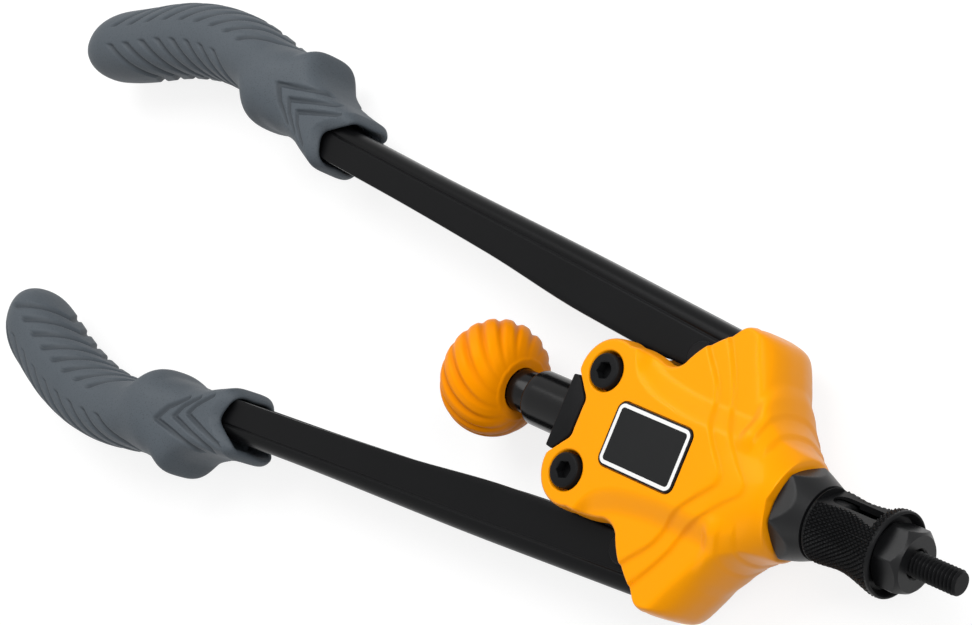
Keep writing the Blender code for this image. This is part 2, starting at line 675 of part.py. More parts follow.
def yoke_plate_outline():
    """Half plan of the yoke: from the hub out to the ear that carries a lever pin."""
    half = [(HUB_REAR, HUB_HALF_WIDTH - 0.6), (HUB_FRONT - 0.6, HUB_HALF_WIDTH - 0.6), (-13.4, 10.0)]
    half += arc((0, PIN_Y), YOKE_EAR_RADIUS, radians(215), radians(20), 12)
    half += [(-1.0, 15.6), (-6.4, 10.2), (HUB_FRONT, 6.0)]
    return mirrored(half)


def make_yoke():
    """Forged crosshead: a hub for the pull rod and two forked ears."""
    height = CAVITY_HALF - 1.2
    section = rounded([(-HUB_HALF_WIDTH, -height, 1.5), (HUB_HALF_WIDTH, -height, 1.5),
                       (HUB_HALF_WIDTH, height, 1.5), (-HUB_HALF_WIDTH, height, 1.5)], 2)
    rings = [[(x, y, z) for y, z in section] for x in (HUB_REAR, HUB_FRONT)]
    yoke = make_object("yoke", mesh_from_rings("yoke", rings), BARE_STEEL, 30)
    plan = yoke_plate_outline()
    add(yoke, prism("yoke_upper_fork", plan, YOKE_INNER, YOKE_OUTER),
        prism("yoke_lower_fork", plan, -YOKE_OUTER, -YOKE_INNER))
    cut(yoke, turned("yoke_bore", [(-60, 0), (-60, ROD_RADIUS + GAP), (0, ROD_RADIUS + GAP), (0, 0)], 32))
    for side in (1, -1):
        cut(yoke, upright(f"yoke_hole_{side}", (0, side * PIN_Y),
                          [(-40, 0), (-40, PIN_RADIUS + GAP), (40, PIN_RADIUS + GAP), (40, 0)], 24))
    return yoke


def make_washer(name, rear, thickness, radius, material):
    outer = [(rear, radius), (rear + thickness, radius)]
    inner = [(rear, ROD_RADIUS + GAP), (rear + thickness, ROD_RADIUS + GAP)]
    return tube(name, outer, inner, 32, material, 30)


def make_guide_sleeve():
    """Tube behind the yoke that runs in the rear block, with a flat milled on its underside."""
    outer = [(SLEEVE_BUSH_REAR, SLEEVE_BUSH_RADIUS - 0.5), (SLEEVE_BUSH_REAR + 0.5, SLEEVE_BUSH_RADIUS),
             (HUB_REAR - GAP, SLEEVE_BUSH_RADIUS)]
    inner = [(SLEEVE_BUSH_REAR, ROD_RADIUS + GAP), (HUB_REAR - GAP, ROD_RADIUS + GAP)]
    sleeve = tube("guide_sleeve", outer, inner, 40, BLACK_PAINT, 30)
    flat_front = BLOCK_REAR - STROKE - 1.0
    side = -SLEEVE_BUSH_RADIUS + 0.8
    flat = prism("guide_flat", [(SLEEVE_BUSH_REAR - 1, -20), (flat_front, -20), (flat_front, side),
                                (SLEEVE_BUSH_REAR - 1, side)], -20, 20)
    return cut(sleeve, flat)


def make_rod():
    """Pull rod: neck behind the guide sleeve, shaft through the yoke, flange and front thread."""
    neck_front = SLEEVE_BUSH_REAR - GAP
    flange_rear = HUB_FRONT + 2 * GAP + 1.0
    coupling_seat = COUPLING_REAR + 6.0
    profile = [(KNOB_X - 4.0, 0), (KNOB_X - 4.0, ROD_RADIUS), (neck_front - 6.6, ROD_RADIUS),
               (neck_front - 6.6, NECK_RADIUS), (neck_front, NECK_RADIUS), (neck_front, ROD_RADIUS),
               (flange_rear, ROD_RADIUS), (flange_rear, ROD_FLANGE_RADIUS),
               (flange_rear + ROD_FLANGE, ROD_FLANGE_RADIUS), (flange_rear + ROD_FLANGE, ROD_RADIUS),
               (COUPLING_REAR - GAP, ROD_RADIUS), (COUPLING_REAR - GAP, 2.5), (coupling_seat, 2.5),
               (coupling_seat, 0)]
    return turned("pull_rod", profile, 32, BLACK_STEEL, 30)


def make_knob():
    """Flattened ball with swirled flutes and a bore for the rod."""
    columns = KNOB_FLUTES * 4
    rings = []
    for turn in np.linspace(0.34, pi - 0.36, 13):
        x = KNOB_X - KNOB_HALF_LENGTH * cos(turn)
        base = KNOB_RADIUS * sin(turn) ** 0.62
        depth = 0.9 * sin(turn) ** 3
        swirl = 0.55 * (turn - pi / 2)
        ring = []
        for column in range(columns):
            angle = 2 * pi * column / columns
            dip = (0.5 + 0.5 * cos(KNOB_FLUTES * angle)) ** 1.5
            radius = base - depth * dip
            ring.append((x, radius * cos(angle + swirl), radius * sin(angle + swirl)))
        rings.append(ring)
    knob = make_object("knob", mesh_from_rings("knob", rings), KNOB_YELLOW, 35)
    seat = SLEEVE_BUSH_REAR - GAP - 6.6
    bore = turned("knob_bore", [(KNOB_X - 4.0 - GAP, 0), (KNOB_X - 4.0 - GAP, ROD_RADIUS + GAP),
                                (seat - GAP, ROD_RADIUS + GAP), (seat - GAP, NECK_RADIUS + GAP),
                                (KNOB_X + 40, NECK_RADIUS + GAP), (KNOB_X + 40, 0)], 32)
    screw = turned("knob_screw_hole", [(0, 0), (0, GRUB_RADIUS + GAP), (40, GRUB_RADIUS + GAP), (40, 0)], 16)
    screw.data.transform(grub_matrix())
    return cut(knob, bore, screw)


def grub_matrix():
    """Place an X profile along the knob's grub screw, from the rod outwards."""
    spin = Matrix.Rotation(GRUB_ANGLE, 4, "X")
    stand = Matrix.Rotation(-pi / 2, 4, "Y")
    return Matrix.Translation(Vector((KNOB_X, 0, 0)) * MM) @ spin @ stand


def make_grub_screw():
    start = ROD_RADIUS + GAP
    screw = turned("knob_grub_screw", [(start, 0), (start, GRUB_RADIUS), (start + GRUB_LENGTH, GRUB_RADIUS),
                                       (start + GRUB_LENGTH, 0)], 16, BLACK_STEEL, 30)
    screw.data.transform(grub_matrix())
    return screw


def make_coupling():
    """Hexagonal adaptor that joins the pull rod to the mandrel, seen through the sleeve's window."""
    bar = hex_bar("mandrel_coupling", COUPLING_AF, COUPLING_REAR, COUPLING_FRONT, 0.0, BLACK_STEEL)
    corner = COUPLING_AF / sqrt(3)
    blank = turned("coupling_blank", [(COUPLING_REAR, 0), (COUPLING_REAR, corner), (COUPLING_FRONT - 0.8, corner),
                                      (COUPLING_FRONT, COUPLING_AF / 2 - 0.3), (COUPLING_FRONT, 0)], 32)
    keep_inside(bar, blank)
    middle = MANDREL_REAR - 0.5
    bore = turned("coupling_bore", [(COUPLING_REAR - 1, 0), (COUPLING_REAR - 1, 2.5 + GAP), (middle, 2.5 + GAP),
                                    (middle, MANDREL_RADIUS + GAP), (COUPLING_FRONT + 1, MANDREL_RADIUS + GAP),
                                    (COUPLING_FRONT + 1, 0)], 28)
    return cut(bar, bore)


def make_mandrel():
    profile = [(MANDREL_REAR, 0), (MANDREL_REAR, MANDREL_RADIUS), (MANDREL_TIP - 0.9, MANDREL_RADIUS),
               (MANDREL_TIP, MANDREL_RADIUS - 0.9), (MANDREL_TIP, 0)]
    return turned("mandrel", profile, 32, BLACK_STEEL, 30)


def make_lock_nut():
    rear = COLLAR_X + GAP
    front = rear + NUT_LENGTH
    nut = hex_bar("lock_nut", NUT_AF, rear, front, radians(-9), BLACK_STEEL, 20)
    corner = NUT_AF / sqrt(3)
    edge = NUT_AF / 2 - 0.4
    slope = (corner - edge) * 0.62
    blank = turned("lock_nut_blank", [(rear, 0), (rear, edge), (rear + slope, corner + 0.01),
                                      (front - slope, corner + 0.01), (front, edge), (front, 0)], 48)
    keep_inside(nut, blank)
    return cut(nut, turned("lock_nut_bore", [(rear - 1, 0), (rear - 1, SPIGOT_RADIUS + GAP),
                                             (front + 1, SPIGOT_RADIUS + GAP), (front + 1, 0)], 40))


def sleeve_profile():
    """Outside of the sleeve: plain shoulder, waist, flare and rim."""
    rear = COLLAR_X + NUT_LENGTH + 2 * GAP
    return [(rear, SLEEVE_REAR_RADIUS - 0.4), (rear + 0.4, SLEEVE_REAR_RADIUS)] + SLEEVE_OUTLINE


def make_nose_sleeve():
    outer = sleeve_profile()
    rear = outer[0][0]
    chamber = SPIGOT_FRONT + 1.0
    inner = [(rear, SPIGOT_RADIUS + GAP), (chamber, SPIGOT_RADIUS + GAP), (chamber, 6.0), (ANVIL_REAR - 0.5, 6.0),
             (ANVIL_REAR - 0.5, ANVIL_SHANK_RADIUS + GAP), (ANVIL_HEX_REAR - GAP, ANVIL_SHANK_RADIUS + GAP),
             (ANVIL_HEX_REAR - GAP, SLEEVE_DISH_FLOOR), (SLEEVE_FRONT, SLEEVE_DISH_RADIUS)]
    sleeve = tube("nose_sleeve", outer, inner, 48, BLACK_STEEL, 30)
    half = WINDOW_WIDTH / 2
    slot = prism("window_slot", rounded([(WINDOW_REAR, -half, half - 0.01), (WINDOW_FRONT, -half, half - 0.01),
                                         (WINDOW_FRONT, half, half - 0.01), (WINDOW_REAR, half, half - 0.01)]), 0, 20)
    flat = prism("window_flat", [(WINDOW_REAR - 1.3, -12), (WINDOW_FRONT + 0.6, -12), (WINDOW_FRONT + 0.6, 12),
                                 (WINDOW_REAR - 1.3, 12)], WINDOW_FLAT, 20)
    turn = Matrix.Rotation(-WINDOW_ANGLE, 4, "X")
    slot.data.transform(turn)
    flat.data.transform(turn)
    return cut(sleeve, flat, slot)


def make_anvil():
    """Hexagonal nosepiece: shank in the sleeve, chamfered head and a bore for the mandrel."""
    anvil = hex_bar("anvil", ANVIL_AF, ANVIL_HEX_REAR, ANVIL_FRONT, radians(42), BLACK_STEEL, 20)
    corner = ANVIL_AF / sqrt(3)
    edge = ANVIL_AF / 2 - 0.2
    blank = turned("anvil_blank", [(ANVIL_HEX_REAR - 1, 0), (ANVIL_HEX_REAR - 1, edge), (ANVIL_HEX_REAR, edge),
                                   (ANVIL_HEX_REAR + 1.0, corner + 0.01), (ANVIL_FRONT - 1.8, corner + 0.01),
                                   (ANVIL_FRONT, edge - 0.6), (ANVIL_FRONT, 0)], 48)
    keep_inside(anvil, blank)
    add(anvil, turned("anvil_shank", [(ANVIL_REAR, 0), (ANVIL_REAR, ANVIL_SHANK_RADIUS),
                                      (ANVIL_HEX_REAR + 1, ANVIL_SHANK_RADIUS), (ANVIL_HEX_REAR + 1, 0)], 32))
    return cut(anvil, turned("anvil_bore", [(ANVIL_REAR - 1, 0), (ANVIL_REAR - 1, MANDREL_RADIUS + GAP),
                                            (ANVIL_FRONT + 1, MANDREL_RADIUS + GAP), (ANVIL_FRONT + 1, 0)], 28))


def smooth_curve(points, position):
    """Value at a position of a smooth curve through (position, value) points, by Hermite pieces."""
    xs = [point[0] for point in points]
    ys = [point[1] for point in points]
    slopes = []
    for index in range(len(xs)):
        low = max(0, index - 1)
        high = min(len(xs) - 1, index + 1)
        slopes.append((ys[high] - ys[low]) / (xs[high] - xs[low]))
    index = max(0, min(len(xs) - 2, int(np.searchsorted(xs, position)) - 1))
    span = xs[index + 1] - xs[index]
    t = min(1.0, max(0.0, (position - xs[index]) / span))
    return ((2 * t ** 3 - 3 * t ** 2 + 1) * ys[index] + (t ** 3 - 2 * t ** 2 + t) * span * slopes[index]
            + (3 * t ** 2 - 2 * t ** 3) * ys[index + 1] + (t ** 3 - t ** 2) * span * slopes[index + 1])


def grip_ring(side, distance, shrink=1.0):
    """Section of the grip at a distance from its mouth. The outer lip stands out in front of the rest."""
    mouth = LEFT_GRIP_MOUTH if side > 0 else RIGHT_GRIP_MOUTH
    fade = max(0.0, 1 - distance / MOUTH_REACH)
    ring = []
    for step in range(GRIP_SIDES):
        angle = 2 * pi * (step + 0.5) / GRIP_SIDES
        c, s = cos(angle), sin(angle)
        place = distance + MOUTH_RECESS * fade * (1 - max(0.0, c) ** 1.5)
        outer = smooth_curve(GRIP_OUTER, place)
        inner = smooth_curve(GRIP_INNER, place)
        power = smooth_curve(GRIP_SQUARENESS, place)
        middle = (outer + inner) / 2 + side * GRIP_LEAN * place
        half = (outer - inner) / 2 * shrink
        height = smooth_curve(GRIP_HEIGHT, place) * shrink
        across = half * abs(c) ** (2 / power) * (1 if c > 0 else -1)
        up = height * abs(s) ** (2 / power) * (1 if s > 0 else -1)
        ring.append(on_arm(side, mouth + place, middle + across, up))
    return ring


def make_grip(name, side):
    length = LEFT_GRIP_LENGTH if side > 0 else RIGHT_GRIP_LENGTH
    rings = [grip_ring(side, distance) for distance in np.linspace(0, length - GRIP_CAP, 29)]
    for share in (0.3, 0.55, 0.75, 0.88, 0.96, 1.0):
        shrink = sqrt(max(0.04, 1 - share ** 2.2))
        rings.append(grip_ring(side, length - GRIP_CAP * (1 - share), shrink))
    grip = make_object(name, mesh_from_rings(name, rings), RUBBER, 40)
    middle = ARM_WIDTH / 2 - ARM_INNER_OFFSET
    half = ARM_WIDTH / 2 + GAP
    tall = ARM_HALF + GAP
    section = rounded([(middle - half, -tall, 0.3), (middle + half, -tall, ARM_CORNER),
                       (middle + half, tall, ARM_CORNER), (middle - half, tall, 0.3)], 5)
    stations = arm_stations()
    u, shift, turn = stations[-1]
    stations[-1] = (u + GAP * cos(turn), shift + GAP * sin(turn), turn)
    pocket_rings = [arm_ring(side, station, section) for station in stations if station[0] >= ARM_TAPER_END]
    pocket = make_object(f"{name}_pocket", mesh_from_rings(f"{name}_pocket", pocket_rings))
    return cut(grip, pocket)


def axis_empty(name, place, parent=None):
    empty = bpy.data.objects.new(name, None)
    bpy.context.scene.collection.objects.link(empty)
    empty.parent = parent
    offset = Vector(place) * MM
    empty.location = offset - (parent.matrix_world.translation if parent else Vector())
    bpy.context.view_layer.update()
    return empty


def seat(pieces, empty):
    """Hang pieces and their cutters on an empty, at the height of the rod's axis."""
    for piece in pieces:
        group = [piece] + [change.object for change in piece.modifiers if change.type == "BOOLEAN"]
        for obj in group:
            obj.parent = empty
            obj.location = Vector((0, 0, AXIS_HEIGHT * MM)) - empty.matrix_world.translation


frame_axis = axis_empty("frame", (0, 0, 0))
yoke_axis = axis_empty("yoke_slide", (0, 0, AXIS_HEIGHT))
rod_axis = axis_empty("rod_spin", (0, 0, AXIS_HEIGHT), yoke_axis)
nut_axis = axis_empty("lock_nut_turn", (COLLAR_X, 0, AXIS_HEIGHT))
sleeve_axis = axis_empty("sleeve_turn", (COLLAR_X, 0, AXIS_HEIGHT))

fixed = [make_housing(), make_badge(), make_rear_block(), make_rack_tube()]
for label, sign in (("left", 1), ("right", -1)):
    fixed.append(make_bolt(f"{label}_bolt", sign))
    fixed.append(make_bolt_nut(f"{label}_bolt_nut", sign))
seat(fixed, frame_axis)

front_washer = make_washer("front_thrust_washer", HUB_FRONT + GAP, 1.0, ROD_FLANGE_RADIUS, BRONZE)
yoke_group = [make_yoke(), make_guide_sleeve(), front_washer]
for label, sign in (("left", 1), ("right", -1)):
    yoke_group.append(make_pin(f"{label}_lever_pin", sign))
    yoke_group.append(make_clip(f"{label}_pin_clip", sign))
seat(yoke_group, yoke_axis)

seat([make_rod(), make_knob(), make_grub_screw(), make_coupling(), make_mandrel()], rod_axis)
seat([make_lock_nut()], nut_axis)
seat([make_nose_sleeve(), make_anvil()], sleeve_axis)

for label, sign in (("left", 1), ("right", -1)):
    lever_axis = axis_empty(f"{label}_lever", (0, sign * PIN_Y, AXIS_HEIGHT), yoke_axis)
    seat([make_arm(f"{label}_arm", sign), make_head(f"{label}_toothed_head", sign),
          make_grip(f"{label}_grip", sign)], lever_axis)
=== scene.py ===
import bpy
import numpy as np
from mathutils import Matrix, Vector


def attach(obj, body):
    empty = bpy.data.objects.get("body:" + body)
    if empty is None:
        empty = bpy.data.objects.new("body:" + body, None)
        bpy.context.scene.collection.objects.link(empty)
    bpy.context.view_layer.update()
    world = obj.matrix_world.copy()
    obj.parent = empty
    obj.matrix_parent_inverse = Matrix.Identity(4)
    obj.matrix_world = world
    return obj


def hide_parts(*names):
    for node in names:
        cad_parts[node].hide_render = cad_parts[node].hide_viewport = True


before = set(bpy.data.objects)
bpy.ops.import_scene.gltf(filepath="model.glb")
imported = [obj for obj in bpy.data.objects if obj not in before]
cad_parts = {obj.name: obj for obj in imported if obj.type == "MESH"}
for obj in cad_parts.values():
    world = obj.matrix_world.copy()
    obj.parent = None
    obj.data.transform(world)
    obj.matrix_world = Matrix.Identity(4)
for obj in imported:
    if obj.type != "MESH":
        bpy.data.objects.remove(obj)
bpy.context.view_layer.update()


# Housing: one aluminium casting in glossy amber enamel, two ribbed plates joined by the front wall, with the
# levers' space open behind it. Its upper face drops softly from the middle to the wings and crosses two
# V-shaped steps. It is cast, machined for the bolts and the nose tube, and painted.

MM = 0.001
AXIS_HEIGHT = 15.5
HOUSING_HALF = 15.5
UPPER_WING = 12.7
LOWER_WING = 10.6
UPPER_STEP = 0.85
LOWER_STEP = 0.25
STEP_WIDTH = 0.95
SHOULDER_STEP = 0.75
HOUSING_MIDDLE_X = 5.0
LOBE_X = -18.6
LOBE_Y = 12.6
LOBE_RADIUS = 9.1
NOTCH_X = -22.3
COLLAR_X = 35.8
CAVITY_HALF = 8.7
TUBE_RADIUS = 8.7
TUBE_FRONT_SEAT = 32.4
RING_PLACES = (27.0, 30.2)
SPIGOT_RADIUS = 6.3
BOLT_RECESS = 4.9
FIT = 0.3
BADGE_REAR = -10.7
BADGE_FRONT = 12.8
BADGE_HALF_WIDTH = 7.9
BADGE_CORNER = 2.2
ENAMEL_YELLOW = (1.0, 0.350, 0.0, 1.0)
# The darker enamel tone: mixed in by random patches, and used as painted shade at the foot of each step.
ENAMEL_SHADE = (0.86, 0.26, 0.0, 1.0)


def smooth_line(points, place):
    """Values at the places of a smooth curve through (place, value) points: cubic pieces whose slope at a point
    is that of the straight line between its two neighbours."""
    xs, ys = np.array(points, float).T
    order = np.arange(len(xs))
    low = np.maximum(order - 1, 0)
    high = np.minimum(order + 1, len(xs) - 1)
    slope = (ys[high] - ys[low]) / (xs[high] - xs[low])
    place = np.asarray(place, float)
    piece = np.clip(np.searchsorted(xs, place) - 1, 0, len(xs) - 2)
    span = xs[piece + 1] - xs[piece]
    t = np.clip((place - xs[piece]) / span, 0.0, 1.0)
    return ((2 * t ** 3 - 3 * t ** 2 + 1) * ys[piece] + (t ** 3 - 2 * t ** 2 + t) * span * slope[piece]
            + (3 * t ** 2 - 2 * t ** 3) * ys[piece + 1] + (t ** 3 - t ** 2) * span * slope[piece + 1])


def ease(value):
    """0 up to 0, 1 from 1, and 3 v squared minus 2 v cubed between them."""
    value = np.clip(value, 0.0, 1.0)
    return value * value * (3.0 - 2.0 * value)


def soft_lower(a, b, reach):
    """The lower of two heights, with the corner between them rounded over about the reach: minus the logarithm
    of the sum of their falling exponentials."""
    return -reach * np.logaddexp(-a / reach, -b / reach)


def rounded_line(corners, steps=8):
    """Points of a line through (x, y, cut) corners. Each corner is cut back by its distance on both sides and
    bridged by a parabola."""
    places = np.array([corner[:2] for corner in corners], float)
    line = [places[0]]
    for before, corner, after, (_, _, cut) in zip(places[:-2], places[1:-1], places[2:], corners[1:-1]):
        start = corner + (before - corner) / np.linalg.norm(before - corner) * cut
        end = corner + (after - corner) / np.linalg.norm(after - corner) * cut
        t = np.linspace(0.0, 1.0, steps)[:, None]
        line.extend((1 - t) ** 2 * start + 2 * t * (1 - t) * corner + t ** 2 * end)
    line.append(places[-1])
    return np.array(line)


def skin(name, grid, looped=False, flat_ends=False):
    """Closed mesh over a grid of rows and columns of points, in millimetres about the rod axis. Columns close on
    themselves. The first and last rows close on a middle point each, on one flat face each or, when looped, on
    each other. Faces are turned outwards by the sign of the volume that they hold."""
    rows, columns = grid.shape[:2]
    points = grid.reshape(-1, 3)
    index = np.arange(rows * columns).reshape(rows, columns)
    near = index if looped else index[:-1]
    far = np.roll(index, -1, axis=0) if looped else index[1:]
    quads = np.stack([near, np.roll(near, -1, axis=1), np.roll(far, -1, axis=1), far], axis=-1).reshape(-1, 4)
    triangles = np.zeros((0, 3), int)
    ends = []
    if flat_ends:
        ends = [index[0][::-1], index[-1]]
    elif not looped:
        points = np.vstack([points, grid[0].mean(axis=0), grid[-1].mean(axis=0)])
        first = np.stack([np.roll(index[0], -1), index[0], np.full(columns, rows * columns)], axis=-1)
        last = np.stack([index[-1], np.roll(index[-1], -1), np.full(columns, rows * columns + 1)], axis=-1)
        triangles = np.vstack([first, last])
    volume = 0.0
    for fan in (quads[:, [0, 1, 2]], quads[:, [0, 2, 3]], triangles):
        a, b, c = (points[fan[:, corner]] for corner in range(3))
        volume += np.einsum("ij,ij->", a, np.cross(b, c))
    for end in ends:
        a, b = points[end], points[np.roll(end, -1)]
        volume += np.einsum("ij,ij->", np.broadcast_to(points[end[0]], a.shape), np.cross(a, b))
    if volume < 0:
        quads = quads[:, ::-1]
        triangles = triangles[:, ::-1]
        ends = [end[::-1] for end in ends]
    mesh = bpy.data.meshes.new(name)
    mesh.from_pydata(points * MM + (0.0, 0.0, AXIS_HEIGHT * MM), [],
                     quads.tolist() + triangles.tolist() + [end.tolist() for end in ends])
    mesh.shade_smooth()
    return mesh


def turned(name, profile, columns=96, center=(0.0, 0.0), upright=False, looped=False):
    """Mesh of a profile of (place along the axis, radius) turned about the rod axis, or about an upright axis
    through the center."""
    along, radius = np.array(profile, float).T
    turn = np.arange(columns) * 2 * np.pi / columns
    a = radius[:, None] * np.cos(turn)
    b = radius[:, None] * np.sin(turn)
    level = np.broadcast_to(along[:, None], a.shape)
    grid = np.stack([center[0] + a, center[1] + b, level], -1) if upright else np.stack([level, a, b], -1)
    return skin(name, grid, looped)


def upright_block(name, plan, low, high):
    """Mesh of a plan outline raised from the low to the high level."""
    plan = np.array(plan, float)
    levels = np.array([low, high], float)
    grid = np.zeros((2, len(plan), 3))
    grid[:, :, :2] = plan
    grid[:, :, 2] = levels[:, None]
    return skin(name, grid, flat_ends=True)


def worked(name, mesh, take_out=(), put_on=()):
    """The mesh with other meshes joined to it and others cut out of it."""
    piece = bpy.data.objects.new(name, mesh)
    bpy.context.scene.collection.objects.link(piece)
    helpers = []
    for operation, tools in (("UNION", put_on), ("DIFFERENCE", take_out)):
        for tool_mesh in tools:
            tool = bpy.data.objects.new(name + "_tool", tool_mesh)
            bpy.context.scene.collection.objects.link(tool)
            step = piece.modifiers.new(operation.lower(), "BOOLEAN")
            step.operation = operation
            step.solver = "EXACT"
            step.object = tool
            helpers.append(tool)
    bpy.context.view_layer.update()
    result = bpy.data.meshes.new_from_object(piece.evaluated_get(bpy.context.evaluated_depsgraph_get()))
    for helper in helpers + [piece]:
        bpy.data.objects.remove(helper)
    result.name = name
    return result


def put_in_place(name, mesh, material, body, slot, *nodes, sharp=35):
    """Makes the piece from its mesh, which rides on a body, takes the given material and stands for nodes. The slot is
    not used.
    """
    mesh.set_sharp_from_angle(angle=np.radians(sharp))
    mesh.materials.clear()
    mesh.materials.append(material)
    piece = bpy.data.objects.new(name, mesh)
    bpy.context.scene.collection.objects.link(piece)
    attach(piece, body)
    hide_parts(*nodes)
    return piece


def housing_rim(turn):
    """Distance from the housing's middle to its outline, for each angle from the nose: lobes, necks, wings and
    shoulders, read off the outline drawn as a line."""
    lobe = np.radians(np.linspace(190, 72, 24))
    lobe_line = np.stack([LOBE_X + LOBE_RADIUS * np.cos(lobe), LOBE_Y + LOBE_RADIUS * np.sin(lobe)], -1)
    notch = rounded_line([(NOTCH_X, 0.0, 0), (NOTCH_X, 5.1, 1.2), (-25.7, 8.9, 1.0), (*lobe_line[0], 0)])
    front = rounded_line([(*lobe_line[-1], 0), (-2.6, 20.0, 3.5), (9.1, 32.3, 1.5), (11.8, 35.5, 2.0),
                          (18.8, 34.0, 2.2), (20.9, 30.8, 1.6), (24.7, 22.6, 3.0), (27.7, 17.3, 2.0),
                          (31.8, 13.9, 1.5), (COLLAR_X, 12.2, 0)])
    half = np.vstack([notch[:-1], lobe_line[:-1], front, [(COLLAR_X, 0.0)]])
    angle = np.arctan2(half[:, 1], half[:, 0] - HOUSING_MIDDLE_X)
    distance = np.hypot(half[:, 1], half[:, 0] - HOUSING_MIDDLE_X)
    return np.interp(np.abs(turn), angle[::-1], distance[::-1])


def first_step(y):
    """How far forward the first V-shaped step lies, at a distance from the middle line."""
    return smooth_line([(0, 23.3), (1.6, 22.8), (7.6, 17.6), (12.7, 14.0), (19.6, 10.8), (25, 6.1), (34, -1.6)],
                       np.abs(y))


def second_step(y):
    """How far forward the second V-shaped step lies."""
    return smooth_line([(0, 29.7), (1.6, 29.2), (4.4, 26.2), (10.4, 20.9), (14.9, 17.3), (20, 15.2), (26.6, 11.2),
                        (36, 4.4)], np.abs(y))


def housing_face(x, y, wing, step):
    """Height of the face above the axis: the middle level, less a soft drop outside the line from the lobes to
    the steps, less a step at each V, and never above the rounded shoulders that lead to the collar."""
    aside = np.abs(y)
    edge = smooth_line([(-30, 40), (-16, 30), (-10.2, 18.8), (-5.9, 15.6), (-0.4, 13.9), (7.8, 12.8), (14, 12.6),
                        (40, 12.6)], x)
    drop = (HOUSING_HALF - wing) * ease((aside - edge) / 7.0 + 0.5)
    down = step * (ease((x - first_step(y)) / STEP_WIDTH + 0.5) + ease((x - second_step(y)) / STEP_WIDTH + 0.5))
    face = HOUSING_HALF - drop - down
    shoulder_half = smooth_line([(13, 50), (17, 40.5), (21, 32.6), (25, 25.4), (29, 18.8), (33, 14.7),
                                 (COLLAR_X, 12.35)], x)
    shoulder_top = smooth_line([(13, 18.5), (17, 17.0), (21, 15.8), (25, 14.8), (29, 14.1), (33, 13.3),
                                (COLLAR_X, 12.2)], x)
    shoulder = shoulder_top * np.sqrt(np.clip(1 - (y / shoulder_half) ** 2, 0.0004, 1.0))
    return soft_lower(face, shoulder, 0.4)


def housing_shell():
    """Outside of the casting. A column is an angle about the middle. Rows run from the middle of the upper face
    to the rim, down the rounded wall to the axis level, and back the same way over the lower face. The wall is
    a quarter of a superellipse whose width and squareness change with the angle. Two rings step outwards behind
    the collar, and are fainter on the right side."""
    turn = (np.arange(560) + 0.5) * 2 * np.pi / 560 - np.pi
    rim = housing_rim(turn)
    degrees = np.degrees(np.abs(turn))
    width = smooth_line([(0, 0.5), (17, 0.5), (24, 1.4), (36, 2.2), (50, 2.6), (66, 2.2), (76, 1.6), (90, 1.8),
                         (110, 2.2), (150, 2.2), (162, 1.8), (180, 1.6)], degrees)
    square = smooth_line([(0, 5.0), (17, 5.0), (26, 2.6), (50, 3.0), (66, 3.2), (80, 2.8), (180, 2.6)], degrees)
    halves = []
    for up, wing, step, spread, rows in ((1, UPPER_WING, UPPER_STEP, 1.0, 86), (-1, LOWER_WING, LOWER_STEP, 2.2, 40)):
        band = width * spread
        share = 1 - (1 - np.linspace(0.012, 1.0, rows)[:, None]) ** 1.35
        lean = np.linspace(0.0, np.pi / 2, 17)[1:, None]
        radius = np.vstack([(rim - band) * share, rim - band + band * np.sin(lean) ** (2 / square)])
        x = HOUSING_MIDDLE_X + radius * np.cos(turn)
        y = radius * np.sin(turn)
        z = housing_face(x, y, wing, step)
        z[rows:] *= np.clip(np.cos(lean), 0, 1) ** (2 / square)
        halves.append(np.stack([x, y, up * z], -1))
    grid = np.vstack([halves[0], halves[1][-2::-1]])
    x, y, z = np.moveaxis(grid, -1, 0)
    around = np.degrees(np.arctan2(np.abs(y), np.abs(z)))
    ring = SHOULDER_STEP * sum(1 - ease((x - place) / 0.5) for place in RING_PLACES)
    ring = ring * (0.62 + 0.38 * ease((y + 8.0) / 16.0))
    ring = ring * ease((around - 28) / 16) * ease((x - 22.5) / 3.0)
    scale = 1 + ring / np.maximum(np.hypot(y, z), 6.0)
    return np.stack([x, y * scale, z * scale], -1)


badge_plan = [(BADGE_REAR, -BADGE_HALF_WIDTH), (BADGE_FRONT, -BADGE_HALF_WIDTH), (BADGE_FRONT, BADGE_HALF_WIDTH),
              (BADGE_REAR, BADGE_HALF_WIDTH)]


def rounded_plan(corners, radius, extra=0.0, steps=7):
    """Closed outline of a rectangle given by its corners, widened by extra, with its corners as quarter arcs."""
    corners = np.array(corners, float)
    middle = corners.mean(axis=0)
    corners = corners + np.sign(corners - middle) * extra
    outline = []
    for corner in corners:
        inward = np.sign(middle - corner)
        center = corner + inward * (radius + extra)
        start = np.arctan2(-inward[1], -inward[0]) - np.pi / 4
        arc = np.linspace(start, start + np.pi / 2, steps)
        outline.extend(np.stack([center[0] + (radius + extra) * np.cos(arc),
                                 center[1] + (radius + extra) * np.sin(arc)], -1))
    return np.array(outline)


def six_sided(across_flats, center=(0.0, 0.0), start=0.0):
    """Corners of a hexagon with its size across flats."""
    turn = start + np.arange(6) * np.pi / 3
    return np.stack([center[0] + across_flats / np.sqrt(3) * np.cos(turn),
                     center[1] + across_flats / np.sqrt(3) * np.sin(turn)], -1)


